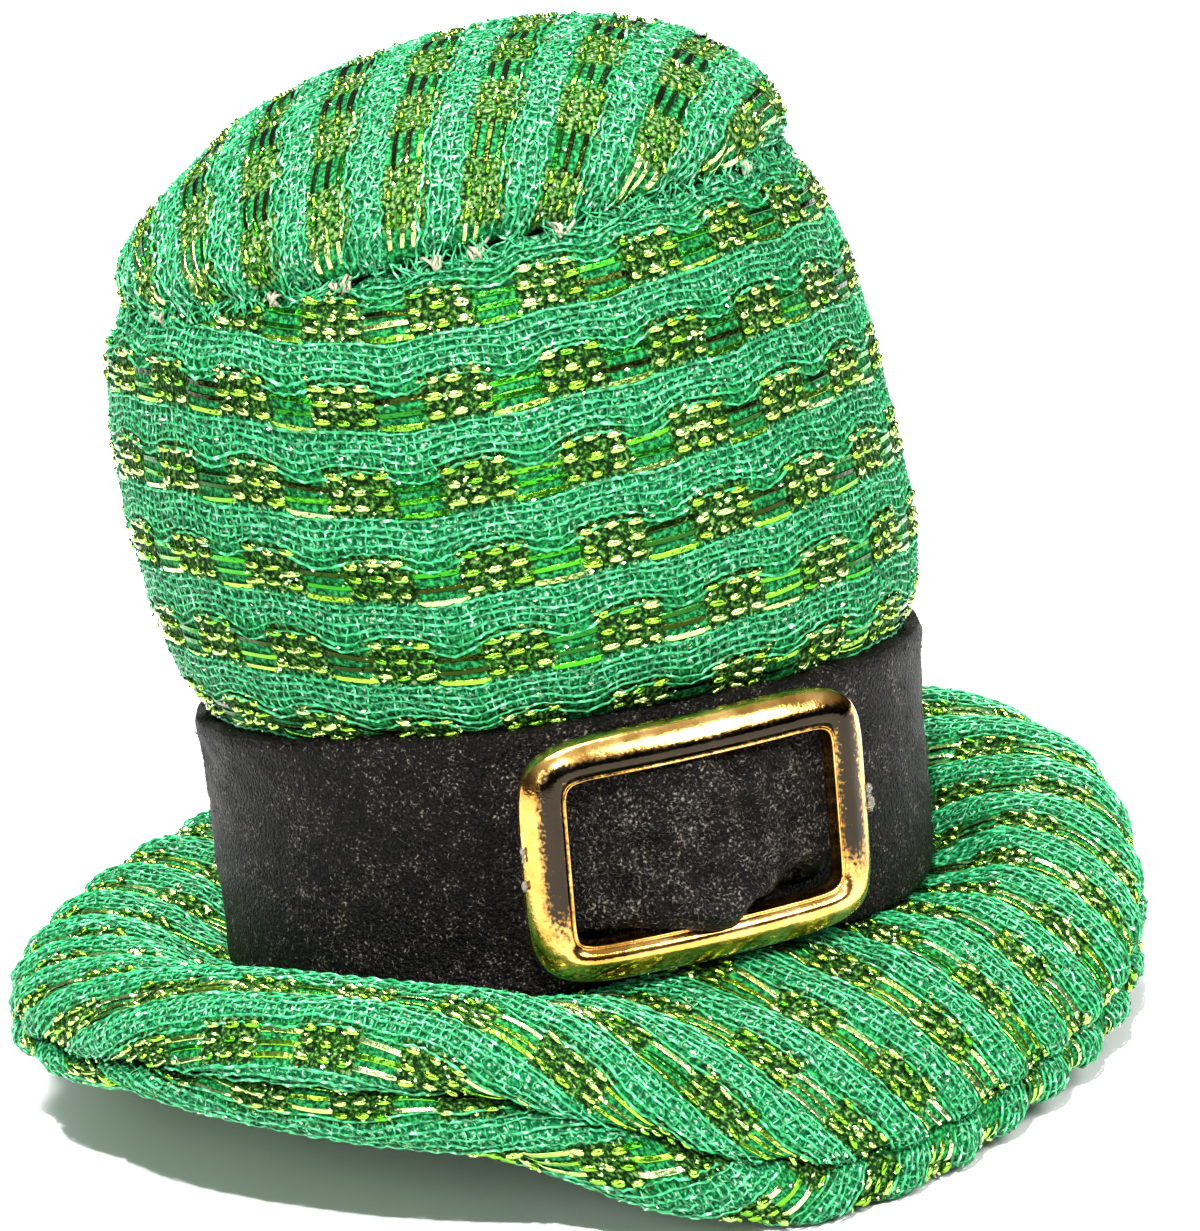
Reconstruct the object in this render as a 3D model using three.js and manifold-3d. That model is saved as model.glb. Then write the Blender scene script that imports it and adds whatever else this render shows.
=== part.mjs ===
// A costume hair clip in the form of a small floppy top hat. A tall, soft crown leans back on a padded, wavy
// brim. A felt band with a plated buckle runs round the crown's foot, and a flat metal clip sits underneath.
// Millimetres, +Z up, the buckle towards -Y. The hat stands on the front of its brim and on the clip.

import * as THREE from 'three';
import { mergeVertices } from 'three/addons/utils/BufferGeometryUtils.js';
import Module from 'manifold-3d';

const wasm = await Module();
wasm.setup();

// Driving dimensions

const TURN_STEPS = 64; // facets round the hat
const CLEARANCE = 0.3; // gap where two pieces meet
const CLOTH_WALL = 1.5; // foam-backed cloth of the crown
const FELT_WALL = 1.2;
const FRONT_ANGLE = -90; // the buckle's side, in degrees from +X

// Plane of the brim that the crown stands on: its height in the middle and its fall to the right and the back
const SEAT = { height: 7.8, fallRight: 0.025, fallBack: 0.159, radius: 19.9 };

// The foot of the crown, the band and the seat sink into the padding at the front left
const FOOT_DIP = { angle: -114, halfSpan: 70, depth: 1.1 };

// Outer face of the crown's wall, a ring for each row from the foot to the seam under the tip. A ring's
// middle lies at (x, y, z), it falls away to the right and the back by so much per millimetre, and front is
// how much of the flat behind the buckle it has. The first three rings are inside the felt band.
const CROWN_SECTIONS = [
  { z: 8.1, x: 0.0, y: 0.0, radius: 18.0, fallRight: 0.025, fallBack: 0.159, front: 1 },
  { z: 15.0, x: 0.35, y: 0.9, radius: 18.15, fallRight: 0.024, fallBack: 0.159, front: 1 },
  { z: 22.0, x: 0.65, y: 1.8, radius: 18.5, fallRight: 0.022, fallBack: 0.155, front: 0.8 },
  { z: 23.2, x: 0.6, y: 1.95, radius: 20.0, fallRight: 0.022, fallBack: 0.145, front: 0.5 },
  { z: 27.4, x: 0.35, y: 2.65, radius: 20.75, fallRight: 0.022, fallBack: 0.133, front: 0.2 },
  { z: 32.3, x: -0.1, y: 3.55, radius: 21.1, fallRight: 0.022, fallBack: 0.132, front: 0 },
  { z: 37.2, x: -0.45, y: 4.4, radius: 20.9, fallRight: 0.011, fallBack: 0.127, front: 0 },
  { z: 41.9, x: -0.75, y: 5.15, radius: 20.35, fallRight: -0.023, fallBack: 0.159, front: 0 },
  { z: 44.8, x: -1.15, y: 5.7, radius: 19.5, fallRight: -0.066, fallBack: 0.205, front: 0 },
  { z: 46.1, x: -1.3, y: 5.95, radius: 18.1, fallRight: -0.088, fallBack: 0.223, front: 0 },
];
const ALLOWANCE = { start: 2.3, wall: 1.0, rise: 0.8 }; // turned-up edge inside the tip
const FRONT_FLAT = { depth: 1.1, halfSpan: 42 }; // the soft crown is flattened behind the buckle

// Dents and bulges of the crown's wall: where, how wide in degrees, how tall in millimetres, how deep
const CROWN_DENTS = [
  { angle: 12, height: 42, wide: 16, tall: 4.0, depth: 0.9 },
  { angle: -176, height: 40, wide: 18, tall: 4.5, depth: 0.5 },
  { angle: -60, height: 40.5, wide: 22, tall: 3.2, depth: 0.45 },
  { angle: -128, height: 33, wide: 26, tall: 7.0, depth: -0.35 },
  { angle: 95, height: 34, wide: 30, tall: 8.0, depth: 0.6 },
];

// Domed tip: its lean per millimetre of rise, and its outline from the seam to the middle as shares of its
// radius and of its rise over the seam
const TIP = { radius: 18.3, rise: 10.4, leanRight: 0.05, leanBack: 0.12 };
const TIP_OUTLINE = [
  { out: 0.97, rise: 0.03 },
  { out: 1.02, rise: 0.09 },
  { out: 1.025, rise: 0.17 },
  { out: 0.985, rise: 0.31 },
  { out: 0.9, rise: 0.48 },
  { out: 0.76, rise: 0.67 },
  { out: 0.57, rise: 0.83 },
  { out: 0.35, rise: 0.94 },
  { out: 0.15, rise: 0.99 },
];

// The brim every 30 degrees from the right (+X) towards the back: its reach, the height of the seam at its
// edge, how far the upper layer stands over the line from the crown's foot to that seam, and how thick the
// under layer is
const BRIM_SECTIONS = [
  { reach: 32.1, seam: 8.6, swell: 2.8, under: 1.5 },
  { reach: 32.3, seam: 10.1, swell: 2.4, under: 2.2 },
  { reach: 31.6, seam: 8.2, swell: 2.2, under: 2.4 },
  { reach: 31.2, seam: 7.4, swell: 2.2, under: 2.4 },
  { reach: 31.2, seam: 6.8, swell: 2.2, under: 2.4 },
  { reach: 31.7, seam: 6.0, swell: 2.6, under: 2.0 },
  { reach: 31.8, seam: 7.7, swell: 3.2, under: 1.3 },
  { reach: 31.0, seam: 9.6, swell: 3.9, under: 2.3 },
  { reach: 30.2, seam: 8.9, swell: 3.9, under: 3.7 },
  { reach: 31.0, seam: 3.2, swell: 2.6, under: 3.8 },
  { reach: 29.5, seam: 3.2, swell: 2.4, under: 2.6 },
  { reach: 30.4, seam: 4.3, swell: 2.8, under: 1.9 },
];
const BRIM_HOLE = { radius: 16.8, upper: 1.1, under: 0.9 }; // inner edge and the layers' thickness there

// Section of the padded layers: shares of the way out from the seat to the reach, and of the padding
const UPPER_OUTLINE = [
  { out: 0.0, rise: 0.0 },
  { out: 0.15, rise: 0.34 },
  { out: 0.32, rise: 0.8 },
  { out: 0.5, rise: 0.98 },
  { out: 0.66, rise: 1.0 },
  { out: 0.8, rise: 0.9 },
  { out: 0.91, rise: 0.68 },
  { out: 0.975, rise: 0.4 },
  { out: 1.0, rise: 0.18 },
];
const UNDER_OUTLINE = [
  { out: 1.0, rise: 0.2 },
  { out: 0.99, rise: 0.5 },
  { out: 0.95, rise: 0.82 },
  { out: 0.87, rise: 1.0 },
  { out: 0.68, rise: 0.98 },
  { out: 0.46, rise: 0.82 },
  { out: 0.22, rise: 0.6 },
  { out: 0.0, rise: 0.42 },
];
const SEAM_OUT = 0.955; // the edge seam is drawn in from the reach

// Felt band, and the strap that arches over the buckle's middle bar
const BAND = { gap: 0.35, flare: 0.2 };
const STRAP = { height: 7.9, middle: -2, halfSpan: 26, archSpan: 21, arch: 2.0, steps: 24 };

// Buckle: rounded oblong frame, slightly bent round the crown, with a middle bar and two gate nubs
const BUCKLE = { width: 19.6, height: 13.3, bar: 2.3, squareness: 6, steps: 48 };
const BUCKLE_SEAT = { bendRadius: 45, standOff: 1.75, raise: 0.4, aside: -0.65 };
const BUCKLE_SECTION = [
  { across: 0.85, rise: 0.0 },
  { across: 1.1, rise: 0.3 },
  { across: 1.1, rise: 1.1 },
  { across: 0.75, rise: 1.7 },
  { across: 0.4, rise: 1.8 },
  { across: -0.75, rise: 1.45 },
  { across: -1.1, rise: 1.0 },
  { across: -1.05, rise: 0.0 },
];
const MIDDLE_BAR = { diameter: 1.5, sides: 10, depth: 1.2 };
const GATE_NUB = { diameter: 0.9, length: 1.1, sides: 8, depth: 2.3 };

// Flat hair clip under the brim: an upper plate and a lower arm, joined at both ends
const CLIP = { length: 43, width: 8, height: 3.5, plate: 0.9, joint: 2.4, corner: 1.2 };
const CLIP_PLACE = { x: 0, y: 3.6, turn: -21 };

// Cubic curve through the middle two of four values
function smooth(before, from, to, after, share) {
  const start = (to - before) / 2;
  const end = (after - from) / 2;
  const a = 2 * from - 2 * to + start + end;
  const b = 3 * to - 3 * from - 2 * start - end;
  return ((a * share + b) * share + start) * share + from;
}

// All columns of a table at a place between its rows. A closed table runs on from its last row to its first,
// and an open one goes straight on past its ends.
function rowAt(rows, place, closed) {
  const base = Math.floor(place);
  const last = rows.length - 1;
  const entry = (index, column) => {
    if (closed) return rows[(index + rows.length) % rows.length][column];
    if (index < 0) return 2 * rows[0][column] - rows[1][column];
    if (index > last) return 2 * rows[last][column] - rows[last - 1][column];
    return rows[index][column];
  };
  const row = {};
  for (const column of Object.keys(rows[0])) {
    const values = [base - 1, base, base + 1, base + 2].map((index) => entry(index, column));
    row[column] = smooth(...values, place - base);
  }
  return row;
}

// Difference of two angles in degrees, between -180 and 180
function turnBetween(angle, from) {
  return THREE.MathUtils.euclideanModulo(angle - from + 180, 360) - 180;
}

// A bump that is 1 in the middle and fades to 0 at the half span
function fade(distance, halfSpan) {
  if (Math.abs(distance) >= halfSpan) return 0;
  return Math.cos((Math.PI / 2) * (distance / halfSpan)) ** 2;
}

function onPlane(middle, fallRight, fallBack, radius, angle) {
  const turn = THREE.MathUtils.degToRad(angle);
  const x = radius * Math.cos(turn);
  const y = radius * Math.sin(turn);
  return new THREE.Vector3(middle.x + x, middle.y + y, middle.z - fallRight * x - fallBack * y);
}

function geometryOf(points, triangles) {
  const geometry = new THREE.BufferGeometry();
  geometry.setAttribute('position', new THREE.Float32BufferAttribute(points.flatMap((p) => p.toArray()), 3));
  geometry.setIndex(triangles.flat());
  geometry.computeVertexNormals();
  return geometry;
}

// Two triangles for each cell between one ring of points and the next, cut along either diagonal
function ringCells(from, to, count, otherWay = false) {
  const triangles = [];
  for (let i = 0; i < count; i++) {
    const next = (i + 1) % count;
    if (otherWay) triangles.push([from + i, from + next, to + i], [from + next, to + next, to + i]);
    else triangles.push([from + i, from + next, to + next], [from + i, to + next, to + i]);
  }
  return triangles;
}

// Closed ring-shaped solid: the section's points in order, swept through all the steps of a full turn
function sweptRing(sectionCount, steps, pointAt, otherWay = false) {
  const points = [];
  const triangles = [];
  for (let s = 0; s < sectionCount; s++) {
    for (let i = 0; i < steps; i++) points.push(pointAt(s, i));
    triangles.push(...ringCells(s * steps, ((s + 1) % sectionCount) * steps, steps, otherWay));
  }
  return geometryOf(points, triangles);
}

const angleOfStep = (i) => (360 * i) / TURN_STEPS;

function footDip(angle) {
  return FOOT_DIP.depth * fade(turnBetween(angle, FOOT_DIP.angle), FOOT_DIP.halfSpan);
}

// Crown

function crownDent(angle, height) {
  let depth = 0;
  for (const dent of CROWN_DENTS) {
    const across = turnBetween(angle, dent.angle) / dent.wide;
    const along = (height - dent.height) / dent.tall;
    depth += dent.depth * Math.exp(-across * across - along * along);
  }
  return depth;
}

// Point of the crown's wall at a place between the section rows, moved out or (negative) in by outset
function crownPoint(angle, place, outset) {
  const row = rowAt(CROWN_SECTIONS, place, false);
  const flat = FRONT_FLAT.depth * row.front * fade(turnBetween(angle, FRONT_ANGLE), FRONT_FLAT.halfSpan);
  const radius = row.radius - flat - crownDent(angle, row.z) + outset;
  const point = onPlane(row, row.fallRight, row.fallBack, radius, angle);
  point.z -= footDip(angle) * Math.max(1 - place, 0);
  return point;
}

// Hollow wall; its seam allowance stands up inside the tip
function crownSide() {
  const top = CROWN_SECTIONS.length - 1;
  const outer = [0, 1, 2, 2.5, 3, 3.5, 4, 5, 6, 7, 7.5, 8, 8.5, top];
  const inner = [8, 7, 6, 5, 4, 3, 2, 1, 0];
  const section = [
    ...outer.map((place) => ({ place, outset: 0 })),
    { place: top, outset: -ALLOWANCE.start },
    { place: top + ALLOWANCE.rise, outset: -ALLOWANCE.start },
    { place: top + ALLOWANCE.rise, outset: -ALLOWANCE.start - ALLOWANCE.wall },
    { place: top, outset: -ALLOWANCE.start - ALLOWANCE.wall },
    ...inner.map((place) => ({ place, outset: -CLOTH_WALL })),
  ];
  return sweptRing(section.length, TURN_STEPS, (s, i) =>
    crownPoint(angleOfStep(i), section[s].place, section[s].outset),
  );
}

function crownTip() {
  const seam = CROWN_SECTIONS[CROWN_SECTIONS.length - 1];
  const axis = new THREE.Vector3(TIP.leanRight, TIP.leanBack, 1);
  const point = (radius, rise, angle) =>
    onPlane(seam, seam.fallRight, seam.fallBack, radius, angle).addScaledVector(axis, rise);
  const rim = TIP.rise * TIP_OUTLINE[0].rise;
  const outer = TIP_OUTLINE.map((row) => ({ radius: TIP.radius * row.out, rise: TIP.rise * row.rise }));
  const inner = outer.map((row) => ({
    radius: row.radius * (1 - CLOTH_WALL / TIP.radius),
    rise: rim + (row.rise - rim) * (1 - CLOTH_WALL / TIP.rise),
  }));
  const rings = [...inner.slice().reverse(), ...outer];
  const points = rings.flatMap((ring) =>
    Array.from({ length: TURN_STEPS }, (_, i) => point(ring.radius, ring.rise, angleOfStep(i))),
  );
  const triangles = [];
  for (let r = 0; r + 1 < rings.length; r++) {
    triangles.push(...ringCells(r * TURN_STEPS, (r + 1) * TURN_STEPS, TURN_STEPS));
  }
  const last = (rings.length - 1) * TURN_STEPS;
  const innerPole = points.push(point(0, TIP.rise - CLOTH_WALL, 0)) - 1;
  const outerPole = points.push(point(0, TIP.rise, 0)) - 1;
  for (let i = 0; i < TURN_STEPS; i++) {
    const next = (i + 1) % TURN_STEPS;
    triangles.push([innerPole, next, i], [outerPole, last + i, last + next]);
  }
  return geometryOf(points, triangles);
}

// Brim

function seatHeight(radius, angle) {
  const middle = { x: 0, y: 0, z: SEAT.height };
  return onPlane(middle, SEAT.fallRight, SEAT.fallBack, radius, angle).z - footDip(angle);
}

// Point at a radius and height, pressed flat where the brim rests on a surface
function brimPoint(radius, height, angle) {
  const turn = THREE.MathUtils.degToRad(angle);
  return new THREE.Vector3(radius * Math.cos(turn), radius * Math.sin(turn), Math.max(height, 0));
}

function brimRow(angle) {
  const turns = THREE.MathUtils.euclideanModulo(angle, 360) / 360;
  return rowAt(BRIM_SECTIONS, turns * BRIM_SECTIONS.length, true);
}

// Section of the upper layer at an angle, from the hole's edge over the top to the seam and back below
function upperSection(angle) {
  const row = brimRow(angle);
  const seat = seatHeight(SEAT.radius, angle);
  const padded = UPPER_OUTLINE.map(({ out, rise }) => ({
    radius: THREE.MathUtils.lerp(SEAT.radius, row.reach, out),
    height: THREE.MathUtils.lerp(seat, row.seam, out) + row.swell * rise,
  }));
  return [
    { radius: BRIM_HOLE.radius, height: seatHeight(BRIM_HOLE.radius, angle) },
    ...padded,
    ...innerFace(angle, row, CLEARANCE / 2),
  ];
}

// Section of the under layer, from the hole's edge along its underside to the seam and back above
function underSection(angle) {
  const row = brimRow(angle);
  const face = innerFace(angle, row, -CLEARANCE / 2);
  const [seam, , seat, hole] = face;
  const padded = UNDER_OUTLINE.map(({ out, rise }) => ({
    radius: THREE.MathUtils.lerp(SEAT.radius, row.reach, out),
    height: THREE.MathUtils.lerp(seat.height, seam.height, out / SEAM_OUT) - row.under * rise,
  }));
  return [{ radius: BRIM_HOLE.radius, height: hole.height - BRIM_HOLE.under }, ...padded.reverse(), ...face];
}

// The side where the two layers face each other: the edge seam, a point half way to the crown, the edge of
// the seat, and the hole's edge
function innerFace(angle, row, offset) {
  const onSeat = (radius) => ({ radius, height: seatHeight(radius, angle) - BRIM_HOLE.upper + offset });
  const seat = onSeat(SEAT.radius);
  const seam = {
    radius: THREE.MathUtils.lerp(SEAT.radius, row.reach, SEAM_OUT),
    height: row.seam + offset,
  };
  const half = { radius: (seam.radius + seat.radius) / 2, height: (seam.height + seat.height) / 2 };
  return [seam, half, seat, onSeat(BRIM_HOLE.radius)];
}

// The two layers' facing sides are cut along the same diagonals, so that they stay parallel
function brimUpper() {
  const sections = Array.from({ length: TURN_STEPS }, (_, i) => upperSection(angleOfStep(i)).reverse());
  const pointAt = (s, i) => brimPoint(sections[i][s].radius, sections[i][s].height, angleOfStep(i));
  return sweptRing(sections[0].length, TURN_STEPS, pointAt, true);
}

function brimUnder() {
  const sections = Array.from({ length: TURN_STEPS }, (_, i) => underSection(angleOfStep(i)));
  const pointAt = (s, i) => brimPoint(sections[i][s].radius, sections[i][s].height, angleOfStep(i));
  return sweptRing(sections[0].length, TURN_STEPS, pointAt);
}

// Felt band and strap

const BAND_TOP = 2; // the section row at the band's upper edge

function bandPoint(angle, share, outset) {
  return crownPoint(angle, share * BAND_TOP, BAND.gap + outset);
}

function hatBand() {
  const section = [
    { share: 0, outset: FELT_WALL },
    { share: 0.5, outset: FELT_WALL },
    { share: 0.85, outset: FELT_WALL },
    { share: 1, outset: FELT_WALL + BAND.flare },
    { share: 1, outset: BAND.flare },
    { share: 0.85, outset: 0 },
    { share: 0.5, outset: 0 },
    { share: 0, outset: 0 },
  ];
  return sweptRing(section.length, TURN_STEPS, (s, i) =>
    bandPoint(angleOfStep(i), section[s].share, section[s].outset),
  );
}

const bandFront = {
  middle: bandPoint(FRONT_ANGLE, 0.5, FELT_WALL),
  right: new THREE.Vector3(1, 0, 0),
  up: bandPoint(FRONT_ANGLE, 0.7, FELT_WALL).sub(bandPoint(FRONT_ANGLE, 0.3, FELT_WALL)).normalize(),
};
bandFront.out = bandFront.right.clone().cross(bandFront.up).normalize();

// Flat strip that follows the band's face and arches over the middle bar
function buckleStrap() {
  const corners = [
    { up: STRAP.height / 2, outset: FELT_WALL },
    { up: -STRAP.height / 2, outset: FELT_WALL },
    { up: -STRAP.height / 2, outset: 0 },
    { up: STRAP.height / 2, outset: 0 },
  ];
  const count = corners.length;
  const points = [];
  const triangles = [];
  for (let k = 0; k <= STRAP.steps; k++) {
    const turn = STRAP.halfSpan * ((2 * k) / STRAP.steps - 1);
    const lift = FELT_WALL + CLEARANCE + STRAP.arch * fade(turn, STRAP.archSpan);
    for (const { up, outset } of corners) {
      const rise = up + BUCKLE_SEAT.raise;
      const onBand = bandPoint(FRONT_ANGLE + STRAP.middle + turn, 0.5, lift + outset);
      points.push(onBand.addScaledVector(bandFront.up, rise));
    }
    if (k > 0) triangles.push(...ringCells((k - 1) * count, k * count, count));
  }
  const last = STRAP.steps * count;
  triangles.push([0, 2, 1], [0, 3, 2], [last, last + 1, last + 2], [last, last + 2, last + 3]);
  return geometryOf(points, triangles);
}

// Buckle

// Place on the buckle: right and up in its face, out from the band, bent round the crown
function bucklePoint(right, up, out) {
  const bent = out - (right * right) / (2 * BUCKLE_SEAT.bendRadius);
  return bandFront.middle
    .clone()
    .addScaledVector(bandFront.right, right + BUCKLE_SEAT.aside)
    .addScaledVector(bandFront.up, up + BUCKLE_SEAT.raise)
    .addScaledVector(bandFront.out, bent);
}

function buckleFrame() {
  const half = { right: (BUCKLE.width - BUCKLE.bar) / 2, up: (BUCKLE.height - BUCKLE.bar) / 2 };
  const power = BUCKLE.squareness;
  const onOblong = (value) => Math.sign(value) * Math.abs(value) ** (2 / power);
  const count = BUCKLE_SECTION.length;
  return sweptRing(count, BUCKLE.steps, (s, i) => {
    const turn = (2 * Math.PI * i) / BUCKLE.steps;
    const right = half.right * onOblong(Math.cos(turn));
    const up = half.up * onOblong(Math.sin(turn));
    const facing = new THREE.Vector2(
      (Math.sign(right) * Math.abs(right / half.right) ** (power - 1)) / half.right,
      (Math.sign(up) * Math.abs(up / half.up) ** (power - 1)) / half.up,
    ).normalize();
    const { across, rise } = BUCKLE_SECTION[s];
    return bucklePoint(right + facing.x * across, up + facing.y * across, BUCKLE_SEAT.standOff + rise);
  });
}

// Cylinder between two points of the buckle
function rod(from, to, diameter, sides) {
  const along = to.clone().sub(from);
  const geometry = new THREE.CylinderGeometry(diameter / 2, diameter / 2, along.length(), sides);
  const upright = new THREE.Vector3(0, 1, 0);
  const turn = new THREE.Quaternion().setFromUnitVectors(upright, along.clone().normalize());
  const middle = from.clone().add(to).multiplyScalar(0.5);
  return geometry.applyMatrix4(new THREE.Matrix4().compose(middle, turn, new THREE.Vector3(1, 1, 1)));
}

function solidOf(geometry) {
  const bare = geometry.clone();
  bare.deleteAttribute('normal');
  bare.deleteAttribute('uv');
  const merged = mergeVertices(bare, 1e-4);
  const mesh = new wasm.Mesh({
    numProp: 3,
    vertProperties: new Float32Array(merged.attributes.position.array),
    triVerts: new Uint32Array(merged.index.array),
  });
  return new wasm.Manifold(mesh);
}

function joined(geometries) {
  const [first, ...others] = geometries.map(solidOf);
  const mesh = others.reduce((whole, solid) => whole.add(solid), first).getMesh();
  const geometry = new THREE.BufferGeometry();
  geometry.setAttribute('position', new THREE.BufferAttribute(new Float32Array(mesh.vertProperties), 3));
  geometry.setIndex(new THREE.BufferAttribute(new Uint32Array(mesh.triVerts), 1));
  geometry.computeVertexNormals();
  return geometry;
}

function buckle() {
  const barReach = (BUCKLE.height - BUCKLE.bar) / 2;
  const edge = BUCKLE.width / 2;
  const bar = rod(
    bucklePoint(0, -barReach, MIDDLE_BAR.depth),
    bucklePoint(0, barReach, MIDDLE_BAR.depth),
    MIDDLE_BAR.diameter,
    MIDDLE_BAR.sides,
  );
  const nubs = [-1, 1].map((side) =>
    rod(
      bucklePoint(side * (edge - GATE_NUB.length / 2), 0, GATE_NUB.depth),
      bucklePoint(side * (edge + GATE_NUB.length / 2), 0, GATE_NUB.depth),
      GATE_NUB.diameter,
      GATE_NUB.sides,
    ),
  );
  return joined([buckleFrame(), bar, ...nubs]);
}

// Hair clip

function roundedOblong(shape, left, right, bottom, top, corner) {
  shape.moveTo(left + corner, bottom);
  shape.lineTo(right - corner, bottom);
  shape.absarc(right - corner, bottom + corner, corner, -Math.PI / 2, 0);
  shape.lineTo(right, top - corner);
  shape.absarc(right - corner, top - corner, corner, 0, Math.PI / 2);
  shape.lineTo(left + corner, top);
  shape.absarc(left + corner, top - corner, corner, Math.PI / 2, Math.PI);
  shape.lineTo(left, bottom + corner);
  shape.absarc(left + corner, bottom + corner, corner, Math.PI, 1.5 * Math.PI);
  return shape;
}

function hairClip() {
  const half = CLIP.length / 2;
  const side = roundedOblong(new THREE.Shape(), -half, half, 0, CLIP.height, CLIP.corner);
  const slotHalf = half - CLIP.joint;
  const slotTop = CLIP.height - CLIP.plate;
  side.holes.push(roundedOblong(new THREE.Path(), -slotHalf, slotHalf, CLIP.plate, slotTop, CLIP.corner / 2));
  const cut = { depth: CLIP.width, bevelEnabled: false, curveSegments: 4 };
  const geometry = new THREE.ExtrudeGeometry(side, cut);
  return geometry.rotateX(Math.PI / 2).translate(0, CLIP.width / 2, 0);
}

// Assembly

function piece(name, geometry, finish) {
  const mesh = new THREE.Mesh(geometry, new THREE.MeshStandardMaterial(finish));
  mesh.name = name;
  return mesh;
}

const GREEN_CLOTH = { color: 0x1c9a4a, roughness: 0.55, metalness: 0.25 };
const BLACK_FELT = { color: 0x121211, roughness: 0.95, metalness: 0 };
const GOLD_PLATING = { color: 0xd9a441, roughness: 0.2, metalness: 1 };
const STEEL = { color: 0xb8bcc0, roughness: 0.35, metalness: 1 };

const hat = new THREE.Group();
hat.add(
  piece('crown_side', crownSide(), GREEN_CLOTH),
  piece('crown_tip', crownTip(), GREEN_CLOTH),
  piece('brim_upper', brimUpper(), GREEN_CLOTH),
  piece('brim_under', brimUnder(), GREEN_CLOTH),
  piece('hat_band', hatBand(), BLACK_FELT),
  piece('buckle_strap', buckleStrap(), BLACK_FELT),
  piece('buckle', buckle(), GOLD_PLATING),
  piece('hair_clip', hairClip(), STEEL),
);

// The clip lies across the hole, turned so that the brim hides it from the front
const clip = hat.getObjectByName('hair_clip');
clip.position.set(CLIP_PLACE.x, CLIP_PLACE.y, 0);
clip.rotation.z = THREE.MathUtils.degToRad(CLIP_PLACE.turn);

export default hat;
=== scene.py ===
"""Small costume top hat on a hair clip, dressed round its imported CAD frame.

The cloth is striped with metallic tape, the band is felt and the buckle is gold. Sizes are in millimetres
until new_mesh turns them into metres.
"""

import math
from dataclasses import dataclass

import bpy
import numpy as np
from mathutils import Matrix, Vector
from mathutils.bvhtree import BVHTree


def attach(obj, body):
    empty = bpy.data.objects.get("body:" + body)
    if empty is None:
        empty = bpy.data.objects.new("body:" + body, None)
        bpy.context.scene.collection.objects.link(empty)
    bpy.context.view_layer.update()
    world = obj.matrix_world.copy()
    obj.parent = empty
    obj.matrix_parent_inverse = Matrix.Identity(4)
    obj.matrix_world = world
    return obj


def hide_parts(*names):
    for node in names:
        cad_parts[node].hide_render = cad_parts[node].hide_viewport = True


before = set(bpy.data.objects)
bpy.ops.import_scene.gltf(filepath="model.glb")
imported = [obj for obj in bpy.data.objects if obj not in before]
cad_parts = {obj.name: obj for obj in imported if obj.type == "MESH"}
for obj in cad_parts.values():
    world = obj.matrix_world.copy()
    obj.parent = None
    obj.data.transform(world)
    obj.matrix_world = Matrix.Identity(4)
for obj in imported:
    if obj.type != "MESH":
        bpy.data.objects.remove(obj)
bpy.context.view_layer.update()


# Crown wall: cloth body
# The wall is a strip of open green gauze with woven stripes of flat metallic tape, backed with thin foam.
# It is sewn into a leaning tube that starts behind the felt band and is drawn in at the tip's seam.

MM = 0.001
FULL_TURN = 2 * math.pi
ANY_PHASE = (0, 6.28)
AROUND = 256  # columns of points round the hat
RAY_REACH = 50.0
CLOTH_THICKNESS = 1.35
UNDER_THREADS = -0.06  # lift of the body's face, so that the threads on the cloth stay clear of it

# Middle of the crown and the fall of its rings to the right and the back, at five heights
AXIS_HEIGHT = (8.1, 22.0, 32.3, 41.9, 46.1)
AXIS_RIGHT = (0.0, 0.65, -0.1, -0.75, -1.3)
AXIS_BACK = (0.0, 1.8, 3.55, 5.15, 5.95)
RING_FALL_RIGHT = (0.025, 0.022, 0.022, -0.023, -0.088)
RING_FALL_BACK = (0.159, 0.155, 0.132, 0.159, 0.223)

# The foot sinks into the brim's padding at the front left: angle and half span in degrees, depth, and the
# height over which the dip fades
DIP_ANGLE, DIP_SPAN, DIP_DEPTH, DIP_HEIGHT = -114.0, 70.0, 1.1, 6.9

turns = np.arange(AROUND) / AROUND


def skin_of(node_name):
    """Ray target in the shape of a CAD node, in millimetres."""
    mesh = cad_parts[node_name].data
    corners = [v.co / MM for v in mesh.vertices]
    return BVHTree.FromPolygons(corners, [tuple(p.vertices) for p in mesh.polygons])


def struck(skin, core, outward):
    """First point of a skin on the way in from outside towards a core point, or None."""
    return skin.ray_cast(core + RAY_REACH * outward, -outward, RAY_REACH)[0]


def way_out(turn):
    """Level way out from the hat's middle at a turn: its parts to the right and to the back."""
    return math.cos(FULL_TURN * turn), math.sin(FULL_TURN * turn)


def ring_ray(height, turn):
    """Middle of the crown at a height, and the way out along its sloping ring."""
    right, back = way_out(turn)
    fall_right = np.interp(height, AXIS_HEIGHT, RING_FALL_RIGHT)
    fall_back = np.interp(height, AXIS_HEIGHT, RING_FALL_BACK)
    aside = np.interp(height, AXIS_HEIGHT, AXIS_RIGHT)
    behind = np.interp(height, AXIS_HEIGHT, AXIS_BACK)
    outward = Vector((right, back, -fall_right * right - fall_back * back))
    return Vector((aside, behind, height)), outward.normalized()


def foot_dip(turn):
    """How far the crown's foot sinks into the padding at a turn."""
    away = (360 * turn - DIP_ANGLE + 180) % 360 - 180
    return DIP_DEPTH * math.cos(math.pi / 2 * min(abs(away) / DIP_SPAN, 1)) ** 2


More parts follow.
